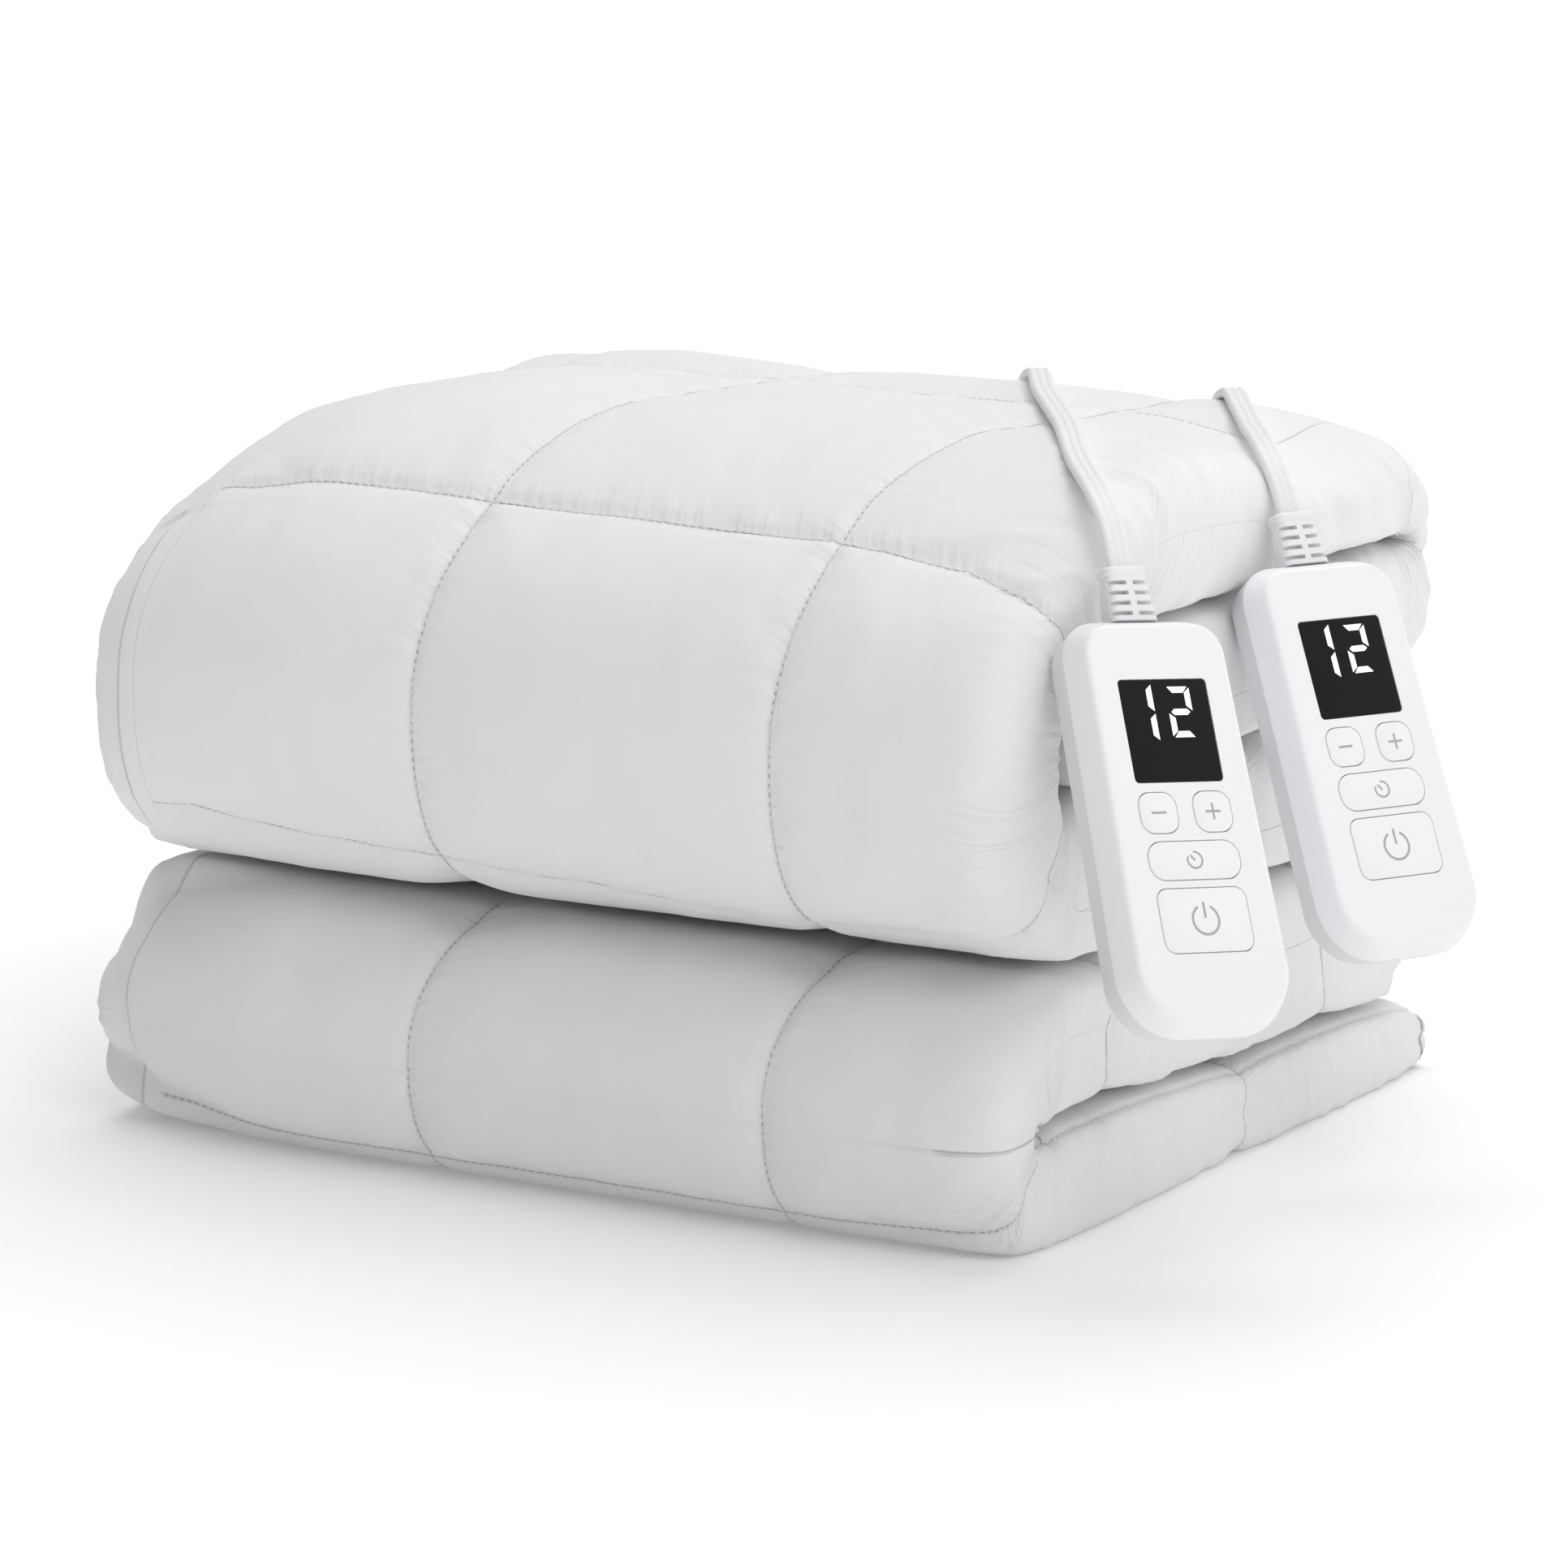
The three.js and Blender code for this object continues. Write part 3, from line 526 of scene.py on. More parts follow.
# Counted in a route's points: from where the width lies level, over how many it turns sideways, and
# how many before the coil it starts and stops turning upright
LEVEL_FROM = 4
SIDEWAYS_OVER = 2
UPRIGHT_BEFORE = (7, 1)
CORD_ROUTES = {
    "front": {
        "points": [
            (193.4, -100.5, 243.5), (184.5, -91.5, 250.2), (173, -77, 253), (159, -58, 254.8),
            (135, -21.9, 259), (105, 25.8, 256.3), (70.5, 79.3, 254.3), (46, 120, 253.3),
            (26, 149.6, 243.8), (9, 168, 216.6), (-5, 172, 180), (-11, 172.4, 130), (-13, 172.8, 82),
            (-14, 174, 42), (-14, 179, 23), (-14, 192, 9.8), (-14, 207, 5), (-14, 220.2, 4.9),
        ],
        "coil": (-70.0, 248.0), "radius": 58.0, "turns": 3, "falls": 10,
    },
    "rear": {
        "points": [
            (188.8, 29.6, 241.6), (181, 37.5, 247.4), (172, 50, 249), (159, 71, 248.2),
            (141, 98, 250.5), (123.5, 124, 251.5), (107, 148, 240.2), (100, 165.6, 215.5),
            (98.5, 171.5, 181), (99, 172.4, 130), (100, 172.8, 82), (100, 174, 42),
            (100, 179, 23), (100, 192, 9.8), (100, 205, 5), (100, 217.1, 4.9),
        ],
        "coil": (48.0, 244.0), "radius": 54.0, "turns": 4, "falls": 8,
    },
}


def catmull_rom(points, steps):
    """A centripetal curve through points, and how many points along each of its places is."""
    p = [np.asarray(q, float) for q in points]
    p = [2 * p[0] - p[1], *p, 2 * p[-1] - p[-2]]
    places, counts = [], []
    for k in range(1, len(p) - 2):
        p0, p1, p2, p3 = p[k - 1:k + 3]
        d0, d1, d2 = (max(np.linalg.norm(b - a) ** 0.5, 1e-6) for a, b in ((p0, p1), (p1, p2), (p2, p3)))
        t1 = ((p1 - p0) / d0 - (p2 - p0) / (d0 + d1) + (p2 - p1) / d1) * d1
        t2 = ((p2 - p1) / d1 - (p3 - p1) / (d1 + d2) + (p3 - p2) / d2) * d1
        for i in range(steps):
            t = i / steps
            places.append(p1 + t1 * t + (3 * (p2 - p1) - 2 * t1 - t2) * t * t
                          + (2 * (p1 - p2) + t1 + t2) * t ** 3)
            counts.append(k - 1 + t)
    places.append(p[-2])
    counts.append(len(p) - 3)
    return np.array(places), np.array(counts)


def coil_points(route):
    """A coil's turns: in along the floor, up beside the hole, back out on top, and away at the back."""
    x, y = route["coil"]
    outer = route["radius"] - CORD_THICKNESS / 2 - COIL_CLEARANCE
    inner = outer - 2 * TURN_PITCH
    total = 360.0 * route["turns"]
    after = total + 90.0
    steps = np.arange(COIL_START, after + 0.1, COIL_STEP)
    radius = np.interp(
        steps,
        [0, COIL_CLIMB, COIL_CLIMB + 60, total - 12, total + 36, after],
        [outer, inner, inner, outer - 0.6, outer + 4.2, outer + 4.4],
    )
    raised = smooth_step(COIL_CLIMB, COIL_CLIMB + 66, steps) - smooth_step(total + 34, total + 120, steps)
    angle = np.radians(steps)
    height = COIL_LOW + ROW_HEIGHT * raised
    turns = np.stack([x + radius * np.cos(angle), y + radius * np.sin(angle), height], 1)
    end_y = y + outer + 4.2
    end = [(x - 12.0, end_y, 5.6), (x - 21.5, end_y, COIL_LOW), (x - 27.0, end_y, COIL_LOW)]
    return np.vstack([turns, end])


def width_directions(route, across, tangents, counts, free_points):
    """Which way the cord's width lies: level on the pad, sideways down the back, upright in the coil."""
    wanted = np.zeros_like(tangents)
    upright = np.array([0.0, 0.0, 1.0])
    sideways = np.array([1.0, 0.0, 0.0])
    falls = route["falls"]
    upright_from, upright_at = (free_points - before for before in UPRIGHT_BEFORE)
    for k, (t, n) in enumerate(zip(tangents, counts)):
        level = np.array([t[1], -t[0], 0.0]) / max(np.hypot(t[0], t[1]), 1e-6)
        if n < LEVEL_FROM:
            mix = smooth_step(1.0, LEVEL_FROM, n)
            wanted[k] = across * (1 - mix) + level * mix
        elif n < falls + SIDEWAYS_OVER:
            mix = smooth_step(falls, falls + SIDEWAYS_OVER, n)
            wanted[k] = level * (1 - mix) + sideways * mix
        else:
            angle = smooth_step(upright_from, upright_at, n) * math.pi / 2
            wanted[k] = sideways * math.cos(angle) + upright * math.sin(angle)
    wanted -= tangents * np.sum(wanted * tangents, 1, keepdims=True)
    return wanted / np.linalg.norm(wanted, axis=1, keepdims=True)


def cord_section():
    """The outline of three round cores side by side, as width and thickness."""
    radius = CORD_THICKNESS / 2
    outline = []
    for k in range(SECTION_STEPS):
        angle = 2 * math.pi * k / SECTION_STEPS
        x = math.cos(angle) * CORD_WIDTH / 2
        core = max(-1, min(1, round(x / CORE_PITCH))) * CORE_PITCH
        reach = math.sqrt(max(radius ** 2 - (x - core) ** 2, 0.0))
        if abs(x) < CORE_PITCH + VALLEY_REACH:
            reach = max(reach, CORE_VALLEY)
        outline.append((x, reach * (1 if math.sin(angle) >= 0 else -1)))
    return np.array(outline)


def add_cord(name):
    route = CORD_ROUTES[name]
    _, across, along, _ = (np.array(v) for v in controller_axes(name))
    outlet = np.array(controller_points(name, [(0.0, OUTLET_Y, -RELIEF_DEPTH)])[0]) / MM - PAD_SHIFT
    free = [outlet, outlet + along * CORD_STRAIGHT, *route["points"]]
    coil = coil_points(route)
    line, counts = catmull_rom([*free, *coil], CORD_STEPS)
    tangents = np.gradient(line, axis=0)
    tangents /= np.linalg.norm(tangents, axis=1, keepdims=True)
    wide = width_directions(route, across, tangents, counts, len(free))
    thick = np.cross(tangents, wide)
    section = cord_section()
    rings = (line[:, None] + section[None, :, :1] * wide[:, None] + section[None, :, 1:] * thick[:, None])
    size = len(section)
    faces = loft_faces(len(line), size)
    cord = new_piece(f"{name}_lead", place(rings.reshape(-1, 3)), faces, [CORD_JACKET], 60)
    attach(cord, BODY)
    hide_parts(f"{name}_cord", f"{name}_coil")
    path = place(line)
    length = float(np.linalg.norm(np.diff(path, axis=0), axis=1).sum())
    return cord, path, length


# The pad: a strip laid back and forth in five layers. Each layer has the y where its lower and upper
# face's straight run starts and stops, their heights there, and the share of a shoulder's sink it takes.
PAD_WIDTH = 381.0
QUILT_PITCH = 142.0
LENGTHWISE_SEAMS = (-41.0, 101.0)
LAYERS = (
    {"low": ((-100, 130), (150, 150)), "high": ((-100, 130), (200, 201)), "sinks": 0.0},
    {"low": ((130, -60), (203, 203)), "high": ((115, -20), (250, 257)), "sinks": 1.0},
    {"low": ((-110, 130), (94, 98)), "high": ((-110, 130), (148, 148)), "sinks": 0.0},
    {"low": ((130, -126), (32, 44)), "high": ((130, -110), (96, 92)), "sinks": 0.0},
    {"low": ((-126, 158), (-5, -5)), "high": ((-126, 158), (42, 30)), "sinks": 0.0},
)
# Each fold: its nose outside and inside, its outer face, and how full and how sunk its two quarters are
FOLDS = (
    {"nose": (168, 198), "inner": (138, 202), "outer": "b", "full": (0.55, 0.95), "sinks": (0.0, 0.3)},
    {"nose": (-170, 166), "inner": (-119, 172), "outer": "b", "full": (1.0, 0.85), "sinks": (1.0, 0.35)},
    {"nose": (170, 96), "inner": (138, 97), "outer": "a", "full": (0.55, 0.75), "sinks": (0.0, 0.0)},
    {"nose": (-174, 46), "inner": (-134, 43), "outer": "b", "full": (1.0, 0.85), "sinks": (0.9, 1.2)},
)
# The strip's stretches are its layers and folds in turn; face a is the outer one in these
OUTER_A_STRETCHES = (5, 8)
# Cross seams whose place is known: their number, their stretch and how far along it they are
SEAM_ANCHORS = (
    {"seam": 2, "stretch": 2, "along": 0.25},
    {"seam": 3, "stretch": 3, "along": 0.215},
    {"seam": 4, "stretch": 3, "along": 0.8},
    {"seam": 9, "stretch": 7, "along": 0.8},
    {"seam": 10, "stretch": 8, "along": 0.5},
)
# Towards each end of the folds the cloth that shows sinks in: from how far out, how far at the end,
# and the share of that in front and at the back
SHOULDERS = ((-1.0, 95.0, 27.0, 1.0, 0.55), (1.0, 105.0, 26.0, 0.2, 1.0))
FLOOR_SINK = 0.4           # the share of that on the floor
SHOULDER_AHEAD = (-110.0, 10.0)
SHOULDER_BEHIND = (-50.0, 40.0)
PATH_STEPS = 240
SINK_BLEND = 56            # steps, each way, over which sinks pass into each other
# The edges' depths, how square they are, and the cloth from the flat part to the middle of each
RIGHT_EDGE = 24.0
RIGHT_SQUARENESS = 0.74
RIGHT_CLOTH = 42.0
LEFT_EDGE = 20.0
LEFT_SQUARENESS = 0.86
LEFT_CLOTH = 40.0
# How full a pressed edge is: an upper layer sags over the rounder edge of the one under it
UPPER_SQUARENESS = 0.55
LOWER_SQUARENESS = 0.22
FLOOR_SQUARENESS = 0.62
FLOOR_EDGE = (0.5, 20.0)
RIGHT_ARC = 80.0
# A face is outside above, ahead of or behind these, and off the floor above the last
OUTSIDE_ABOVE = (222.0, 234.0)
OUTSIDE_AHEAD = (112.0, 126.0)
OUTSIDE_BEHIND = (120.0, 134.0)
OFF_FLOOR = (0.5, 6.0)
# The grid: cells across and around, the rings' spacing, and the cells to a block
FLAT_CELLS = 140
RIGHT_CELLS = 32
LEFT_CELLS = 16
RING_PITCH = 2.4
BLOCK = 4
# How far seams draw the cloth in: outside, on the top, and where it is pressed; then a share of the
# thickness that isn't passed, how flat the squares are and how far seams draw the edge in
SEAM_DEPTH = 4.5
TOP_SEAM_DEPTH = 1.6
TOP_FACE = (234.0, 246.0)
PRESSED_DEPTH = 2.5
MOST_DRAWN = 0.5
CROWN = 2.0
EDGE_DRAW = 4.0
SEAM_SLOPE = {"share": 0.78, "width": 14.0}
SEAM_CREASE = {"share": 0.22, "width": 2.2}
LEFT_FADE = (140.0, 165.0)      # cross seams fade out towards the left border
FADED = 0.15
# The left border's inner edge: how far along the strip, and how far across
BORDER = ((500, -140), (546, -132), (597, -138), (654, -160), (693, -172), (741, -168), (2000, -168))
BORDER_STEP = 1.2
# The cross seam that dies out before the smooth roll of the top layer, and where
ROLL_SEAM = 2
ROLL = (142.0, 166.0)
# How far cross seams stray along the strip, at a few places across: the seam, then the shifts
SWAY_AT = (-166, -43, 94, 150, 190)
SEAM_SWAY = ((2.5, (0, 0, 0, 0, 0)), (3, (-3, 0, 3, 9, 24)), (4, (-12, -3, 11, 9, 6)), (5, (0, 0, 0, 0, 0)))
# Hems along the closed edge: from and to which seam, and how far around the edge
HEMS = ((8.75, 11.2, 0.22), (1.5, 2.2, 0.14))
BOTTOM_LAYER_SEAM = 8.75
FAR_FROM_HEM = 999.0
FAR_FROM_SEAM = 99.0
# A free end: its length, the quarter turns of its rings, and how much flatter and narrower it gets
END_LENGTH = 9.0
END_TURNS = (0.3, 0.6, 0.85, 1.0)
END_FLATNESS = 0.35
END_NARROWING = 0.015
END_GAP = 0.06                  # its distance in metres from seams and border, which it doesn't have
JUST_SHOWN = 0.02


def fold_point(start, nose, stop, turn, squareness):
    """A point of one face as it turns back, from its start round the nose to its stop."""
    half, power = (start, squareness[0]) if turn <= 0.5 else (stop, squareness[1])
    angle = turn * math.pi
    return (
        half[0] + (nose[0] - half[0]) * math.sin(angle) ** power,
        nose[1] + (half[1] - nose[1]) * abs(math.cos(angle)) ** power,
    )


def layer_faces(number, t):
    """Faces a and b of a layer's run; face a is the upper one on the first, third and fifth layer."""
    low, high = (
        (y[0] + (y[1] - y[0]) * t, z[0] + (z[1] - z[0]) * t)
        for y, z in (LAYERS[number]["low"], LAYERS[number]["high"])
    )
    return (high, low) if number % 2 == 0 else (low, high)


def fold_faces(number, t):
    """Faces a and b of a fold, between the layers that it joins."""
    fold = FOLDS[number]
    starts = layer_faces(number, 1.0)
    stops = layer_faces(number + 1, 0.0)
    faces = []
    for face, start, stop in zip("ab", starts, stops):
        is_outer = fold["outer"] == face
        nose = fold["nose"] if is_outer else fold["inner"]
        faces.append(fold_point(start, nose, stop, t, fold["full"] if is_outer else (1.0, 1.0)))
    return faces


def path_rows():
    """At every step: both faces, run, sink, if a is outside, if it is a fold, fullness; then the anchors."""
    rows, anchors = [], []
    run = 0.0
    last_stretch = len(LAYERS) + len(FOLDS) - 1
    for stretch in range(last_stretch + 1):
        number = stretch // 2
        is_fold = stretch % 2 == 1
        for k in range(PATH_STEPS + (stretch == last_stretch)):
            t = k / PATH_STEPS
            a, b = fold_faces(number, t) if is_fold else layer_faces(number, t)
            if rows:
                run += max(math.dist(rows[-1][:2], a), math.dist(rows[-1][2:4], b))
            upper = (math.cos(math.pi * (number + (t if is_fold else 0.0))) + 1) / 2
            fuller = LOWER_SQUARENESS + (UPPER_SQUARENESS - LOWER_SQUARENESS) * upper
            other = LOWER_SQUARENESS + UPPER_SQUARENESS - fuller
            sink = FOLDS[number]["sinks"][0 if t < 0.5 else 1] if is_fold else LAYERS[number]["sinks"]
            rows.append((*a, *b, run, sink, stretch in OUTER_A_STRETCHES, is_fold, fuller, other))
            for anchor in SEAM_ANCHORS:
                if anchor["stretch"] == stretch and abs(anchor["along"] - t) < 0.5 / PATH_STEPS:
                    anchors.append((run, anchor["seam"]))
    return np.array(rows, float), np.array(anchors, float)


def pad_path():
    """Evenly spaced rings, with what path_rows says of each, and its number in seams."""
    rows, anchors = path_rows()
    runs = rows[:, 4]
    window = np.ones(2 * SINK_BLEND + 1)
    rows[:, 5] = np.convolve(rows[:, 5], window, "same") / np.convolve(np.ones(len(rows)), window, "same")
    count = round(runs[-1] / RING_PITCH / BLOCK) * BLOCK + 1
    even = np.linspace(0.0, runs[-1], count)
    even_rows = np.stack([np.interp(even, runs, column) for column in rows.T], 1)
    rings, _, sinks, outer_is_a, is_fold, pressed = np.split(even_rows, (4, 5, 6, 7, 8), axis=1)
    anchor_runs, anchor_seams = anchors.T
    seam = np.interp(even, anchor_runs, anchor_seams)
    before = even < anchor_runs[0]
    after = even > anchor_runs[-1]
    seam[before] = anchor_seams[0] - (anchor_runs[0] - even[before]) / QUILT_PITCH
    seam[after] = anchor_seams[-1] + (even[after] - anchor_runs[-1]) / QUILT_PITCH
    on_floor = 1 - smooth_step(*FLOOR_EDGE, rings[:, 3])
    pressed[:, 1] += (FLOOR_SQUARENESS - pressed[:, 1]) * on_floor
    return rings, even, seam, sinks, outer_is_a > 0.5, is_fold, pressed


def pad_columns():
    """Around the strip's section: where its edge starts, the side, the turn, the flat coordinate."""
    left = -PAD_WIDTH / 2 + LEFT_EDGE
    right = PAD_WIDTH / 2 - RIGHT_EDGE
    flat = np.linspace(left, right, FLAT_CELLS + 1)
    columns = [(x, 0.0, 0.0, x) for x in flat]
    for k in range(1, RIGHT_CELLS):
        turn = k / RIGHT_CELLS
        columns.append((right, 1.0, turn, right + RIGHT_CLOTH * min(turn, 1 - turn) * 2))
    columns += [(x, 0.0, 1.0, x) for x in flat[::-1]]
    for k in range(1, LEFT_CELLS):
        turn = 1 - k / LEFT_CELLS
        columns.append((left, -1.0, turn, left - LEFT_CLOTH * min(turn, 1 - turn) * 2))
    return np.array(columns)


def edge_places(columns, shown_a, shown_b, pressed):
    """Where each point lies across, and how near which face from 1 to -1."""
    start, way, turn, _ = (columns[:, k][None, :] for k in range(4))
    sine = np.sin(turn * math.pi)
    cosine = np.cos(turn * math.pi)
    loose = np.where(turn < 0.5, shown_a, shown_b)
    pressed = np.where(turn < 0.5, pressed[:, :1], pressed[:, 1:])
    squareness = np.where(way > 0, RIGHT_SQUARENESS, LEFT_SQUARENESS)
    squareness = pressed + (squareness - pressed) * loose
    reach = np.where(way > 0, RIGHT_EDGE, LEFT_EDGE)
    on_edge = way != 0
    x = start + np.where(on_edge, way * reach * np.abs(sine) ** squareness, 0.0)
    face = np.sign(cosine) * np.abs(cosine) ** squareness
    return x, np.where(on_edge, face, np.where(turn < 0.5, 1.0, -1.0))


def how_shown(y, z, is_outer):
    """How much a face is outside, from 0 where it is pressed to 1, and the same but 0 on the floor."""
    above = smooth_step(*OUTSIDE_ABOVE, z)
    ahead = smooth_step(*OUTSIDE_AHEAD, -y)
    behind = smooth_step(*OUTSIDE_BEHIND, y)
    outside = np.maximum(above, np.maximum(ahead, behind)) * is_outer
    return outside, outside * smooth_step(*OFF_FLOOR, z)


def shoulder_sink(x, y, z):
    """How far the shoulders at both ends sink in at x, on a face at a height and a distance ahead."""
    ahead = smooth_step(*SHOULDER_AHEAD, -y)
    off_floor = FLOOR_SINK + (1 - FLOOR_SINK) * smooth_step(*OFF_FLOOR, z)
    behind = smooth_step(*SHOULDER_BEHIND, y)
    deepest = np.zeros(np.broadcast(x, y).shape)
    for way, start, sink, front, back in SHOULDERS:
        share = (1 + (front - 1) * ahead) * (1 + (back - 1) * behind)
        out = np.maximum(way * x - start, 0.0) / (PAD_WIDTH / 2 - start)
        deepest = np.maximum(deepest, sink * share * off_floor * out ** 2)
    return deepest


def seam_sway(seam, flat):
    """How far the cross seams stray along the strip, for every ring and column."""
    numbers, shifts = zip(*SEAM_SWAY)
    by_ring = np.stack([np.interp(seam, numbers, shift) for shift in zip(*shifts)], 1)
    weights = np.stack([np.interp(flat, SWAY_AT, unit) for unit in np.eye(len(SWAY_AT))])
    return by_ring @ weights


def pad_fields():
    """Everything that the pad's surface is worked out from, on one grid of rings by columns."""
    rings, run, seam, sinks, outer_is_a, is_fold, pressed = pad_path()
    columns = pad_columns()
    ring_a, ring_b = rings[:, None, :2], rings[:, None, 2:]
    outside_a, shown_a = how_shown(ring_a[..., 0], ring_a[..., 1], outer_is_a)
    outside_b, shown_b = how_shown(ring_b[..., 0], ring_b[..., 1], ~outer_is_a)
    x, face = edge_places(columns, shown_a, shown_b, pressed)
    upper = columns[:, 2][None, :] < 0.5
    seam = seam[:, None] - seam_sway(seam, columns[:, 3]) / QUILT_PITCH
    on_roll = (np.abs(seam - ROLL_SEAM) < 0.5) * smooth_step(*ROLL, columns[:, 3][None, :])
    gaps = np.stack([x - s for s in LENGTHWISE_SEAMS])
    nearest = np.argmin(np.abs(gaps), axis=0)
    return {
        "run": run[:, None], "seam": seam, "x": x, "face": face,
        "flat": np.broadcast_to(columns[:, 3][None, :], x.shape), "edge": columns[:, 1],
        "a": ring_a, "b": ring_b, "outside": (outside_a, outside_b), "shows": (shown_a, shown_b),
        "sinks": sinks, "thickness": np.linalg.norm(ring_a - ring_b, axis=-1),
        "cross": (seam - np.round(seam)) * QUILT_PITCH,
        "length": np.take_along_axis(gaps, nearest[None], 0)[0],
        "shown": np.where(upper, shown_a, shown_b),
        "fade": (1 - smooth_step(*LEFT_FADE, -x)) * (1 - on_roll),
        "arc": columns[:, 2] * RIGHT_ARC,
        "border": (columns[:, 3][None, :] - np.interp(run, *np.transpose(BORDER))[:, None]),
        "is_fold": is_fold,
    }


def seam_pull(gap):
    """How far the cloth is drawn in beside a seam: a broad slope and a narrow crease."""
    gap = np.abs(gap)
    slope = SEAM_SLOPE["share"] * np.exp(-gap / SEAM_SLOPE["width"])
    return slope + SEAM_CREASE["share"] * np.exp(-((gap / SEAM_CREASE["width"]) ** 2))


def drawn_in(f, face, outside, shown):
    """How much of the thickness one face is drawn in by."""
    y, z = face[..., 0], face[..., 1]
    outside_depth = SEAM_DEPTH + (TOP_SEAM_DEPTH - SEAM_DEPTH) * smooth_step(*TOP_FACE, z)
    depth = PRESSED_DEPTH + (outside_depth - PRESSED_DEPTH) * shown
    pull = np.maximum(seam_pull(f["cross"]) * f["fade"], seam_pull(f["length"])) * depth
    square = np.minimum(np.abs(f["cross"]), np.abs(f["length"])) / (QUILT_PITCH / 2)
    crown = CROWN * (1 - np.minimum(square, 1.0)) ** 2
    sunk = shoulder_sink(f["x"], y, z) * outside * f["sinks"]
    return np.minimum((pull + crown + sunk) / f["thickness"], MOST_DRAWN)


def seam_gaps(f):
    """How far each point is from a cross seam, a lengthwise seam and a hem: signed, without steps."""
    shape = f["x"].shape
    wave = QUILT_PITCH / math.pi
    cross = np.broadcast_to(wave * np.sin(math.pi * f["seam"]), shape)
    first, last = LENGTHWISE_SEAMS
    between = wave * np.sin((f["x"] - first) / wave)
    length = np.where(f["x"] < first, f["x"] - first, np.where(f["x"] > last, last - f["x"], between))
    upper = f["face"] > 0
    hem = np.where(upper, -FAR_FROM_HEM, FAR_FROM_HEM)
    for start, stop, turn in HEMS:
        here = (f["seam"] > start) & (f["seam"] < stop)
        beside = np.where(upper, 0.0, RIGHT_ARC) - turn * RIGHT_ARC
        near = np.where(f["edge"] > 0, f["arc"] - turn * RIGHT_ARC, beside)
        hem = np.where(here & (f["edge"] >= 0), near, hem)
    return np.stack([cross + FAR_FROM_SEAM * (f["fade"] < FADED), length, hem], -1)


def gathers(f):
    """Where fine gathers lie: a coordinate across them, one along them and how deep they are."""
    shape = f["x"].shape
    run = np.broadcast_to(f["run"], shape)
    on_right = np.broadcast_to(f["edge"] > 0, shape)
    arc = np.where(on_right, f["arc"], np.where(f["face"] > 0, 0.0, RIGHT_ARC))
    sway = 5.0 * cloth_noise(f["flat"] / 34.0, run / 47.0, 61)
    on_bottom = f["seam"] > BOTTOM_LAYER_SEAM
    slant = np.where(on_bottom, -0.4, 0.3)
    u = run + sway + slant * arc
    beside = smooth_step(120.0, 166.0, f["flat"]) * f["shown"]
    edge = np.where(on_bottom, smooth_step(0.24, 0.4, arc / RIGHT_ARC), 0.7 + 0.4 * f["is_fold"])
    patchy = 0.35 + 0.65 * smooth_step(-0.4, 0.5, cloth_noise(run / 52.0, f["flat"] / 45.0, 63))
    strength = np.where(on_right, edge, 0.2 * beside) * patchy + 0.06 * f["shown"]
    return np.stack([u * MM, arc * MM + f["flat"] * MM, strength], -1)


def pad_surface(f):
    """The points of the pad's surface, in its own frame."""
    drawn_a = drawn_in(f, f["a"], f["outside"][0], f["shows"][0])
    drawn_b = drawn_in(f, f["b"], f["outside"][1], f["shows"][1])
    t = 1 - drawn_b + (drawn_a - 1 + drawn_b) * (1 + f["face"]) / 2
    draw = EDGE_DRAW * seam_pull(f["cross"]) * (1 - np.abs(f["face"])) * (f["edge"] > 0)
    points = np.empty(f["x"].shape + (3,))
    points[..., 0] = f["x"] - draw
    points[..., 1:] = f["a"] + (f["b"] - f["a"]) * t[..., None]
    return points


def surface_normals(points):
    """The direction that is square to the surface at each of its points."""
    along = np.gradient(points, axis=0)
    around = np.roll(points, -1, axis=1) - np.roll(points, 1, axis=1)
    normals = np.cross(around, along)
    return normals / np.maximum(np.linalg.norm(normals, axis=-1, keepdims=True), 1e-9)


# Heights of the cloth's creases
SWELL = 0.9
SOFT_CREASE = 0.6
FINE_CREASE = 0.25
RIDGE = 1.5
RIDGE_SUNK = 0.9
HEM_GROOVE = 1.1
HEM_WIDTH = 2.2
BORDER_CREASE = 0.4


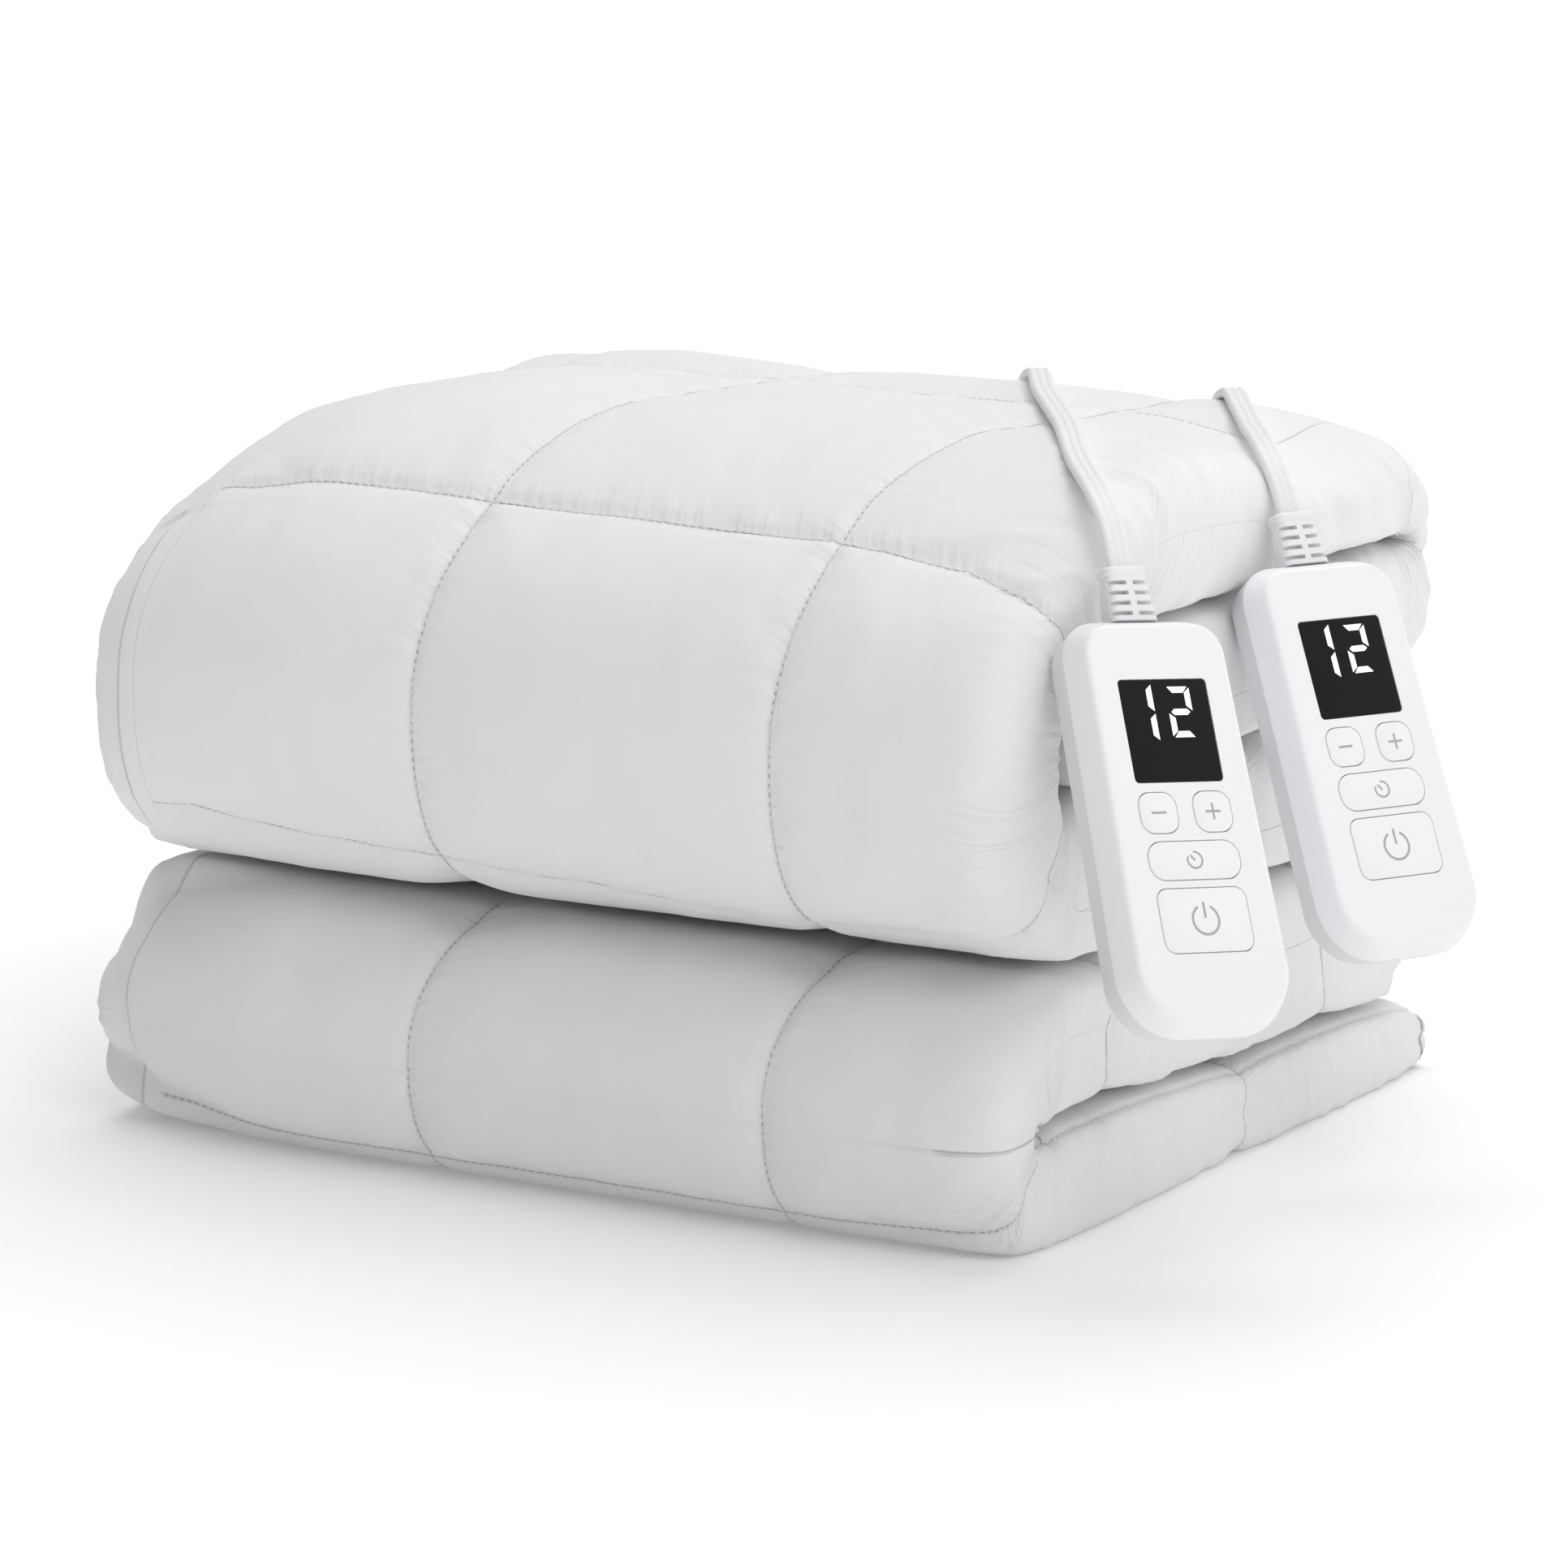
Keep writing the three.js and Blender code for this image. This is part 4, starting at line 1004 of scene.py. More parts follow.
def pad_creases(f):
    """How far the cloth stands out or in from its smooth surface, in millimetres."""
    run = f["run"] + np.where(f["face"] > 0, 0.0, 400.0)
    flat = f["flat"]
    shown = f["shown"]
    seen = np.where(f["edge"][None, :] != 0, 1.0, shown)
    # the cloth is pushed up in places beside its seams
    out = 0.0
    for gap, along, seed in ((f["cross"], flat, 3), (f["length"], run, 5)):
        away = np.abs(gap)
        swell = cloth_noise((along + 0.4 * away) / 11.0, away / 16.0, seed)
        out = out + SWELL * swell * smooth_step(0.0, 4.0, away) * np.exp(-away / 11.0) * (0.3 + 0.7 * shown)
    # soft creases across the squares
    out = out + SOFT_CREASE * cloth_noise(flat / 26.0, run / 58.0, 31) * shown
    out = out + FINE_CREASE * cloth_noise(flat / 11.0, run / 17.0, 33) * shown
    # gathers that run around the closed edge and fade over the squares beside it
    beside = smooth_step(112.0, 172.0, flat)
    sway = 9.0 * cloth_noise(flat / 34.0, run / 50.0, 41)
    ridge = 1 - 2 * np.abs(cloth_noise((run + sway + 0.35 * flat) / 15.0, flat / 48.0, 43))
    patchy = 0.5 + 0.5 * cloth_noise(run / 60.0, flat / 80.0, 47)
    out = out + (RIDGE * ridge - RIDGE_SUNK) * beside * seen * patchy
    # a hem on the closed edge stands out above its stitches
    for first, last, turn in HEMS:
        above = np.abs(f["arc"] - turn * RIGHT_ARC)
        within = smooth_step(first, first + 0.1, f["seam"]) * (1 - smooth_step(last - 0.1, last, f["seam"]))
        out = out - HEM_GROOVE * np.exp(-(above / HEM_WIDTH) ** 2) * within * (f["edge"] > 0)
    # the cloth outside the border stands back a little
    out = out - BORDER_STEP * smooth_step(-2.0, 4.0, -f["border"]) * seen
    under = smooth_step(0.0, 14.0, -f["border"])
    return out + BORDER_CREASE * cloth_noise(run / 9.0, flat / 30.0, 51) * under * seen


def grid_faces(rows, columns, fine):
    """Quads on the fine blocks; elsewhere one face to a block, joined to what is fine beside it."""
    def index(r, c):
        return r * columns + c % columns

    blocks_r = (rows - 1) // BLOCK
    blocks_c = columns // BLOCK
    faces = []
    for i in range(blocks_r):
        for j in range(blocks_c):
            r0, c0 = i * BLOCK, j * BLOCK
            if fine[i, j]:
                for r in range(r0, r0 + BLOCK):
                    for c in range(c0, c0 + BLOCK):
                        faces.append((index(r, c), index(r, c + 1), index(r + 1, c + 1), index(r + 1, c)))
                continue
            loop = [index(r0, c0)]
            if i > 0 and fine[i - 1, j]:
                loop += [index(r0, c0 + k) for k in range(1, BLOCK)]
            loop.append(index(r0, c0 + BLOCK))
            if fine[i, (j + 1) % blocks_c]:
                loop += [index(r0 + k, c0 + BLOCK) for k in range(1, BLOCK)]
            loop.append(index(r0 + BLOCK, c0 + BLOCK))
            if i + 1 < blocks_r and fine[i + 1, j]:
                loop += [index(r0 + BLOCK, c0 + BLOCK - k) for k in range(1, BLOCK)]
            loop.append(index(r0 + BLOCK, c0))
            if fine[i, j - 1]:
                loop += [index(r0 + BLOCK - k, c0) for k in range(1, BLOCK)]
            faces.append(tuple(loop))
    return faces


def end_rings(ring, forward):
    """A free end rounds off over a few rings, closed by faces from one side to the other."""
    middle = ring.mean(axis=0)
    rings = []
    for turn in END_TURNS:
        angle = turn * math.pi / 2
        flat = END_FLATNESS + (1 - END_FLATNESS) * math.cos(angle)
        moved = middle + (ring - middle) * np.array([1 - END_NARROWING * turn, flat, flat])
        moved[:, 1] += forward * END_LENGTH * math.sin(angle)
        moved[:, 2] = np.maximum(moved[:, 2], 0.0)
        rings.append(moved)
    return rings


def end_caps(last):
    """Faces that close an end's last ring, from its upper side to its lower one."""
    top = last[:FLAT_CELLS + 1]
    low = last[FLAT_CELLS + RIGHT_CELLS:FLAT_CELLS * 2 + RIGHT_CELLS + 1][::-1]
    caps = [(top[k], top[k + 1], low[k + 1], low[k]) for k in range(FLAT_CELLS)]
    caps.append(tuple(last[FLAT_CELLS:FLAT_CELLS + RIGHT_CELLS + 1]))
    caps.append(tuple(last[FLAT_CELLS * 2 + RIGHT_CELLS:] + [last[0]]))
    return caps


def add_ends(points, flat, run, vertices, flats, faces):
    """Adds both free ends of the strip to its vertices, flat coordinates and faces."""
    rows, columns = points.shape[:2]
    for start, forward in ((0, -1.0), (rows - 1, 1.0)):
        previous = [start * columns + c for c in range(columns)]
        added = []
        for ring in end_rings(points[start], forward):
            current = list(range(len(vertices), len(vertices) + columns))
            vertices += list(ring)
            flats += list(np.stack([flat[start], run[start] + forward * END_LENGTH * np.ones(columns)], -1))
            for c in range(columns):
                d = (c + 1) % columns
                added.append((previous[c], previous[d], current[d], current[c]))
            previous = current
        added += end_caps(previous)
        faces += added if forward > 0 else [face[::-1] for face in added]


def fine_blocks(f, rows, columns):
    """Which blocks of the grid are seen, and so keep all their faces."""
    wanted = (f["shown"] > JUST_SHOWN) | (f["edge"] != 0)[None, :]
    fine = np.zeros(((rows - 1) // BLOCK, columns // BLOCK), bool)
    for i, j in np.ndindex(fine.shape):
        across = np.arange(j * BLOCK, (j + 1) * BLOCK + 1) % columns
        fine[i, j] = wanted[i * BLOCK:(i + 1) * BLOCK + 1][:, across].any()
    return fine


def set_field(pad, name, values, at_ends, kept, count):
    """Stores a field on the points that are kept, with a plain value on the free ends'."""
    size = values.shape[1]
    filled = np.full((count, size), at_ends)
    filled[:len(values)] = values
    kind, slot = ("FLOAT", "value") if size == 1 else ("FLOAT_VECTOR", "vector")
    attribute = pad.data.attributes.new(name, kind, "POINT")
    attribute.data.foreach_set(slot, filled[kept].ravel())


def set_flat(pad, flats):
    """Stores the flat coordinates, in metres."""
    uv = pad.data.uv_layers.new(name="flat")
    loops = np.empty(len(pad.data.loops), int)
    pad.data.loops.foreach_get("vertex_index", loops)
    uv.data.foreach_set("uv", (flats[loops] * MM).ravel())


def add_pad():
    f = pad_fields()
    points = pad_surface(f)
    normals = surface_normals(points)
    outward = (f["a"] - f["b"])[:, 0]
    if np.sum(normals[:, 0, 1:] * outward) < 0:
        normals = -normals
    points = points + normals * pad_creases(f)[..., None]
    points[..., 2] = np.maximum(points[..., 2], 0.0)
    rows, columns = points.shape[:2]
    run = np.broadcast_to(f["run"], (rows, columns))
    flat = np.broadcast_to(f["flat"], (rows, columns))
    border = np.broadcast_to(f["border"], (rows, columns))
    vertices = list(points.reshape(-1, 3))
    flats = list(np.stack([flat, run], -1).reshape(-1, 2))
    faces = grid_faces(rows, columns, fine_blocks(f, rows, columns))
    add_ends(points, flat, run, vertices, flats, faces)
    count = len(vertices)
    vertices, faces, kept = only_used(vertices, faces)
    pad = new_piece("quilted_pad", place(vertices), faces, [CLOTH])
    facing_out(pad)
    set_flat(pad, np.array(flats)[kept])
    set_field(pad, "seam_gaps", seam_gaps(f).reshape(-1, 3) * MM, END_GAP, kept, count)
    set_field(pad, "border_gap", border.reshape(-1, 1) * MM, END_GAP, kept, count)
    set_field(pad, "gathers", gathers(f).reshape(-1, 3), 0.0, kept, count)
    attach(pad, BODY)
    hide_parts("pad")
    return f, points, normals


def only_used(vertices, faces):
    """The vertices that faces use, the faces with their new numbers, and which vertices were kept."""
    used = np.zeros(len(vertices), bool)
    for face in faces:
        used[list(face)] = True
    kept = np.flatnonzero(used)
    new_index = np.full(len(vertices), -1)
    new_index[kept] = np.arange(len(kept))
    return np.array(vertices)[kept], [tuple(int(new_index[v]) for v in face) for face in faces], kept


def facing_out(piece):
    """Turns a closed mesh the right way out, by its volume."""
    work = bmesh.new()
    work.from_mesh(piece.data)
    if work.calc_volume(signed=True) < 0:
        bmesh.ops.reverse_faces(work, faces=work.faces)
        work.to_mesh(piece.data)
    work.free()


# Stitches: short threads set out along each seam that shows
STITCH_SIZES = {"Pitch": STITCH_PITCH, "Thread radius": THREAD_RADIUS, "Stitch length": STITCH_LENGTH}
STITCH_LIFT = 0.12
SHORTEST_LINE = 5
SEAM_SHOWN = 0.25


def stitch_tree():
    """Nodes that set one stitch, a long ball of thread, on each pitch of the seams."""
    group = bpy.data.node_groups.new("stitch_row", "GeometryNodeTree")
    face = group.interface
    face.new_socket("Seams", in_out="INPUT", socket_type="NodeSocketGeometry")
    for name, value in STITCH_SIZES.items():
        socket = face.new_socket(name, in_out="INPUT", socket_type="NodeSocketFloat")
        socket.default_value = value
    face.new_socket("Thread", in_out="INPUT", socket_type="NodeSocketMaterial")
    face.new_socket("Stitches", in_out="OUTPUT", socket_type="NodeSocketGeometry")
    tree = NodeTree(group)
    given = tree.nodes.new("NodeGroupInput").outputs
    seams, pitch, radius, length, thread = (Value(tree, given[item.name]) for item in list(given)[:5])
    curve = tree.node("GeometryNodeMeshToCurve", None, {"Mesh": seams})
    even = tree.node("GeometryNodeResampleCurve", {"mode": "LENGTH"}, {"Curve": curve, "Length": pitch})
    ball = tree.node("GeometryNodeMeshUVSphere", None, {"Segments": 6, "Rings": 4, "Radius": 1.0})
    tangent = tree.node("GeometryNodeInputTangent")
    turn = tree.node("FunctionNodeAlignRotationToVector", {"axis": "Z"}, {"Vector": tangent})
    size = tree.vector(radius, radius, length * 0.5)
    stitches = tree.node("GeometryNodeInstanceOnPoints", None, {
        "Points": even, "Instance": ball, "Rotation": turn, "Scale": size,
    })
    real = tree.node("GeometryNodeRealizeInstances", None, {"Geometry": stitches})
    painted = tree.node("GeometryNodeSetMaterial", None, {"Geometry": real, "Material": thread})
    tree.feed(tree.nodes.new("NodeGroupOutput").inputs["Stitches"], painted)
    return group


def kept_stretches(line, keep):
    """The stretches of a line where keep holds, without the shortest."""
    stretches = []
    start = None
    for k in range(len(line) + 1):
        inside = k < len(line) and keep[k]
        if inside and start is None:
            start = k
        elif not inside and start is not None:
            if k - start > SHORTEST_LINE:
                stretches.append(line[start:k])
            start = None
    return stretches


def seam_lines(f, points, normals):
    """Runs of points along the seams that show, just clear of the cloth."""
    lifted = points + normals * STITCH_LIFT
    lines = []
    rows, columns = points.shape[:2]
    every = np.arange(columns)
    seam = f["seam"]
    for number in range(math.ceil(seam[0].max()), math.floor(seam[-1].min()) + 1):
        place_on = np.array([np.interp(number, seam[:, c], np.arange(rows)) for c in every])
        r = np.minimum(place_on.astype(int), rows - 2)
        mix = (place_on - r)[:, None]
        row = lifted[r, every] * (1 - mix) + lifted[r + 1, every] * mix
        shown = (f["shown"][r, every] > SEAM_SHOWN) | (f["edge"] > 0)
        keep = shown & (f["fade"][r, every] > FADED)
        shift = int(np.argmin(keep)) if not keep.all() else 0
        lines += kept_stretches(np.roll(row, -shift, axis=0), np.roll(keep, -shift))
    for first, last, turn in HEMS:
        column = FLAT_CELLS + turn * RIGHT_CELLS
        c = int(column)
        row = lifted[:, c] * (1 - column + c) + lifted[:, c + 1] * (column - c)
        lines += kept_stretches(row, (seam[:, c] > first) & (seam[:, c] < last))
    for x in LENGTHWISE_SEAMS:
        for first, last in ((0, FLAT_CELLS), (FLAT_CELLS + RIGHT_CELLS, FLAT_CELLS * 2 + RIGHT_CELLS)):
            xs = f["flat"][0, first:last + 1]
            order = np.argsort(xs)
            place_on = float(np.interp(x, xs[order], order))
            c = min(int(place_on), last - first - 1)
            mix = place_on - c
            column = lifted[:, first + c] * (1 - mix) + lifted[:, first + c + 1] * mix
            lines += kept_stretches(column, f["shown"][:, first + c] > SEAM_SHOWN)
    return lines


def add_stitches(lines):
    vertices, edges = [], []
    for line in lines:
        start = len(vertices)
        vertices += list(line)
        edges += [(start + k, start + k + 1) for k in range(len(line) - 1)]
    mesh = bpy.data.meshes.new("seam_lines")
    mesh.from_pydata([tuple(map(float, v)) for v in place(vertices)], edges, [])
    piece = bpy.data.objects.new("quilting_stitches", mesh)
    bpy.context.scene.collection.objects.link(piece)
    modifier = piece.modifiers.new("stitches", "NODES")
    group = stitch_tree()
    modifier.node_group = group
    inputs = {item.name: item.identifier for item in group.interface.items_tree if item.in_out == "INPUT"}
    for name, value in STITCH_SIZES.items():
        modifier[inputs[name]] = value
    modifier[inputs["Thread"]] = THREAD
    finished(piece)
    piece.data.shade_smooth()
    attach(piece, BODY)
    return piece


# Controllers
CONTROLLER_LENGTH = 141.0
TOP_WIDTH = 60.0
BOTTOM_WIDTH = 64.0
TOP_CORNER = 14.0
BOTTOM_CORNER = 21.0
HOUSING_SECTION = (
    (0.0, 5.6), (0.15, 4.6), (0.8, 3.7), (1.8, 3.1), (5.2, 1.6), (8.6, 0.3), (9.6, 0.02), (10.6, 0.05),
    (15.0, 0.8), (19.0, 1.6), (21.5, 2.7), (23.4, 4.6), (24.6, 7.4), (25.0, 11.0),
)
# the housing's sides deeper than this behind the face get painted shade
SHADE_FROM_DEPTH = 9.6
FIT = 0.3
DISPLAY = {"y": 30.5, "width": 33.0, "height": 34.5, "corner": 1.2, "thickness": 0.9, "recess": 1.2}
KEY_THICKNESS = 3.0
KEY_TRAVEL = 0.8
KEY_PROUD = 0.2
KEYS = {
    "minus": {"at": (-10.3, 2.8), "size": (14.0, 13.6), "corner": 4.6},
    "plus": {"at": (10.3, 2.8), "size": (14.0, 13.6), "corner": 4.6},
    "timer": {"at": (0.0, -13.4), "size": (34.5, 12.8), "corner": 5.6},
    "power": {"at": (0.0, -33.5), "size": (33.5, 21.4), "corner": 4.0},
}
OUTLINE_STEPS = 14
LEAST_CORNER = 3.0
SLAB_ABOVE = 2.0           # how far a cut reaches in front of the face
HOUSING_ROUNDING = 0.22
SMALL_ROUNDING = 0.25      # of strain reliefs and connectors
KEY_ROUNDING = 0.35
FLAT_BACK = 0.995          # faces squarer to the face's direction keep the plain plastic, without the painted shade
MARK_DEPTH = 0.1
MARK_HEIGHT = 0.04
# Symbols on the keys, from the key's middle: strokes from and to, with their width, and arcs with
# radius, width and two angles in degrees
MARKS = {
    "minus": {"strokes": [((-2.8, 0.0), (2.8, 0.0), 0.8)], "arcs": []},
    "plus": {
        "strokes": [
            ((-2.8, 0.0), (2.8, 0.0), 0.8), ((0.0, 0.4), (0.0, 2.8), 0.8), ((0.0, -2.8), (0.0, -0.4), 0.8),
        ],
        "arcs": [],
    },
    "timer": {"strokes": [((0.0, -0.2), (-1.5, 1.7), 0.75)], "arcs": [(2.75, 0.7, 155, 455)]},
    "power": {"strokes": [((0.0, 0.6), (0.0, 6.0), 0.85)], "arcs": [(4.9, 0.85, 118, 422)]},
}


def housing_outline(inset):
    """The housing's outline, narrower towards the cord, a distance inside its widest one."""
    points = []
    corners = (
        (1, -1, BOTTOM_WIDTH, BOTTOM_CORNER, -0.5), (1, 1, TOP_WIDTH, TOP_CORNER, 0.0),
        (-1, 1, TOP_WIDTH, TOP_CORNER, 0.5), (-1, -1, BOTTOM_WIDTH, BOTTOM_CORNER, 1.0),
    )
    for side, end, width, corner, start in corners:
        radius = max(corner - inset, LEAST_CORNER)
        for k in range(OUTLINE_STEPS + 1):
            angle = (start + 0.5 * k / OUTLINE_STEPS) * math.pi
            points.append((
                side * (width / 2 - inset - radius) + radius * math.cos(angle),
                end * (CONTROLLER_LENGTH / 2 - inset - radius) + radius * math.sin(angle),
            ))
    return points


def slab(outline, low, high, bevel=0.0):
    """Rings of a slab between two heights, with its upper rim rounded."""
    middle = np.mean(outline, axis=0)
    size = np.ptp(outline, axis=0) / 2
    rings = [(low, 0.0), (high - bevel, 0.0)]
    if bevel > 0:
        rings += [(high - bevel * 0.3, bevel * 0.3), (high, bevel)]
    out = []
    for z, inset in rings:
        scale = 1 - inset / size
        out += [(*(middle + (np.array(p) - middle) * scale), z) for p in outline]
    return out, loft_faces(len(rings), len(outline))


def joined(shapes):
    """One list of vertices and one of faces for several shapes."""
    vertices, faces = [], []
    for points, polygons in shapes:
        start = len(vertices)
        vertices += list(points)
        faces += [tuple(v + start for v in face) for face in polygons]
    return vertices, faces


def cut_by(piece, shapes, local):
    """The piece without the space of some closed shapes."""
    vertices, faces = joined(shapes)
    cutter = new_piece("cutter", local(vertices), faces, [])
    facing_out_each(cutter)
    cut = piece.modifiers.new("cut", "BOOLEAN")
    cut.operation = "DIFFERENCE"
    cut.solver = "EXACT"
    cut.object = cutter
    finished(piece)
    mesh = cutter.data
    bpy.data.objects.remove(cutter)
    bpy.data.meshes.remove(mesh)


def facing_out_each(piece):
    """Turns each closed shape of a mesh the right way out."""
    work = bmesh.new()
    work.from_mesh(piece.data)
    bmesh.ops.recalc_face_normals(work, faces=work.faces)
    work.to_mesh(piece.data)
    work.free()


def soften(piece, width, angle=40):
    """Small rounded edges, with flat faces left flat."""
    bevel = piece.modifiers.new("rounding", "BEVEL")
    bevel.width = width * MM
    bevel.segments = 2
    bevel.limit_method = "ANGLE"
    bevel.angle_limit = math.radians(angle)
    bevel.use_clamp_overlap = True
    even = piece.modifiers.new("even", "WEIGHTED_NORMAL")
    even.keep_sharp = True
    finished(piece)


def add_housing(name):
    def local(points):
        return controller_points(name, points)

    profile = through(HOUSING_SECTION, 4)
    rings = []
    for depth, inset in profile:
        rings += [(x, y, -depth) for x, y in housing_outline(inset)]
    size = len(housing_outline(0.0))
    housing = new_piece(f"{name}_shell", local(rings), loft_faces(len(profile), size), [HOUSING])
    facing_out(housing)
    window = rounded_outline(DISPLAY["width"] + 2 * FIT, DISPLAY["height"] + 2 * FIT,
                             DISPLAY["corner"] + FIT, shift=(0.0, DISPLAY["y"]))
    shapes = [slab(window, -DISPLAY["recess"], SLAB_ABOVE)]
    floor = KEY_PROUD - KEY_THICKNESS - KEY_TRAVEL - FIT
    for key in KEYS.values():
        width, height = key["size"]
        pocket = rounded_outline(width + 2 * FIT, height + 2 * FIT, key["corner"] + FIT, 10, key["at"])
        shapes.append(slab(pocket, floor, SLAB_ABOVE))
    cut_by(housing, shapes, local)
    housing.data.shade_smooth()
    soften(housing, HOUSING_ROUNDING)
    # painted shade: the housing's sides deeper than this behind the face get a greyer copy of its plastic,
    # standing in for the shade they lie in
    housing.data.materials.append(SHADED_SIDE_PLASTIC)
    face, _, _, out = controller_axes(name)
    outwards = out / MM
    level = outwards.dot(Vector(place(face))) - SHADE_FROM_DEPTH
    for polygon in housing.data.polygons:
        deep = outwards.dot(polygon.center) < level
        if deep and abs(polygon.normal.dot(out)) < FLAT_BACK:
            polygon.material_index = 1
    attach(housing, BODY)
    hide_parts(f"{name}_housing")


def bar(start, stop, width):
    """A straight stroke with square ends."""
    start, stop = np.array(start, float), np.array(stop, float)
    way = (stop - start) / np.linalg.norm(stop - start)
    side = np.array([-way[1], way[0]]) * width / 2
    return [tuple(start - side), tuple(stop - side), tuple(stop + side), tuple(start + side)]


def arc(middle, radius, width, start, stop, steps=36):
    """An arc stroke's outer and inner side, between two angles in degrees."""
    x, y = middle
    angles = np.radians(np.linspace(start, stop, steps))
    return [
        [(x + reach * math.cos(a), y + reach * math.sin(a)) for a in angles]
        for reach in (radius + width / 2, radius - width / 2)
    ]


def mark_shapes(kind, at):
    """The strokes of a key's symbol, as thin raised plates."""
    x, y = at
    low, high = KEY_PROUD - MARK_DEPTH, KEY_PROUD + MARK_HEIGHT
    shapes = []
    for start, stop, width in MARKS[kind]["strokes"]:
        stroke = bar((x + start[0], y + start[1]), (x + stop[0], y + stop[1]), width)
        shapes.append(slab(stroke, low, high))
    for sizes in MARKS[kind]["arcs"]:
        outer, inner = arc(at, *sizes)
        count = len(outer)
        ring = [(*p, low) for p in outer + inner[::-1]] + [(*p, high) for p in outer + inner[::-1]]
        size = 2 * count
        faces = [(k, (k + 1) % size, (k + 1) % size + size, k + size) for k in range(size)]
        for k in range(count - 1):
            a, b, c, d = k, k + 1, size - 2 - k, size - 1 - k
            faces.append((d, c, b, a))
            faces.append((a + size, b + size, c + size, d + size))
        shapes.append((ring, faces))
    return shapes


def add_key(name, kind):
    key = KEYS[kind]
    outline = rounded_outline(*key["size"], key["corner"], 10, key["at"])
    cap = slab(outline, KEY_PROUD - KEY_THICKNESS, KEY_PROUD, KEY_ROUNDING)
    marks = mark_shapes(kind, key["at"])
    vertices, faces = joined([cap, *marks])
    cap_faces = len(cap[1])
    kinds = [0] * cap_faces + [1] * (len(faces) - cap_faces)
    piece = new_piece(f"{name}_{kind}_keycap", controller_points(name, vertices), faces,
                      [KEYCAP, PRINT], 30, kinds)
    facing_out_each(piece)
    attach(piece, f"{name}_key_{kind}")
    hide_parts(f"{name}_key_{kind}")


def segment_plates():
    """The lit segments of a plain 12 on the display, as outlines in the controller's frame."""
    left = -DISPLAY["width"] / 2
    top = DISPLAY["y"] + DISPLAY["height"] / 2
    high = top - 0.07 * DISPLAY["height"]
    low = top - 0.57 * DISPLAY["height"]
    middle = (high + low) / 2
    thick = 2.1
    gap = 0.42
    one = left + 0.36 * DISPLAY["width"]
    west = left + 0.52 * DISPLAY["width"]
    east = left + 0.795 * DISPLAY["width"]

    def upright(x, bottom, top_end, outside):
        """An upright segment whose slanting ends face its neighbours; outside is its outer side."""
        inner = x - outside * thick
        return [(x, bottom + gap), (x, top_end - gap), (inner, top_end - gap - thick * 0.8),
                (inner, bottom + gap + thick * 0.8)]

    plates = [
        upright(one, middle, high + 1.2, 1), upright(one, low - 1.2, middle, 1),
        upright(east, middle, high, 1), upright(west, low, middle, -1),
        [(west + gap + 0.3, high), (west + gap + thick, high - thick),
         (east - gap - thick, high - thick), (east - gap - 0.3, high)],
        [(west + gap + 0.3, low), (east - gap - 0.3, low), (east - gap - thick, low + thick),
         (west + gap + thick, low + thick)],
        [(west + gap + 0.5, middle), (west + gap + thick * 0.8, middle + thick / 2),
         (east - gap - thick * 0.8, middle + thick / 2), (east - gap - 0.5, middle),
         (east - gap - thick * 0.8, middle - thick / 2), (west + gap + thick * 0.8, middle - thick / 2)],
    ]
    return plates


def add_display(name):
    outline = rounded_outline(DISPLAY["width"], DISPLAY["height"], DISPLAY["corner"], 6, (0.0, DISPLAY["y"]))
    top = FIT - DISPLAY["recess"] + DISPLAY["thickness"]
    glass = slab(outline, FIT - DISPLAY["recess"], top, 0.12)
    plates = [slab(plate, top - 0.15, top + 0.03) for plate in segment_plates()]
    vertices, faces = joined([glass, *plates])
    kinds = [0] * len(glass[1]) + [1] * (len(faces) - len(glass[1]))
    piece = new_piece(f"{name}_window", controller_points(name, vertices), faces,
                      [GLASS, SEGMENT], 30, kinds)
    facing_out_each(piece)
    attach(piece, BODY)
    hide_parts(f"{name}_display")


# Strain relief: a tapered body with a collar, cut by rows of slots beside a spine
RELIEF_SIZE = {
    "length": 19.0, "base": (17.5, 10.5), "top": (14.5, 8.5), "collar": 3.0, "grow": 0.8, "corner": 2.6,
    "rows": 4, "pitch": 3.6, "slot": 1.5, "depth": 2.6, "spine": 2.4, "first": 2.4,
}


def box_shape(low, high):
    (x0, y0, z0), (x1, y1, z1) = low, high
    points = [(x, y, z) for z in (z0, z1) for x, y in ((x0, y0), (x1, y0), (x1, y1), (x0, y1))]
    faces = [(3, 2, 1, 0), (4, 5, 6, 7), (0, 1, 5, 4), (1, 2, 6, 5), (2, 3, 7, 6), (3, 0, 4, 7)]
    return points, faces


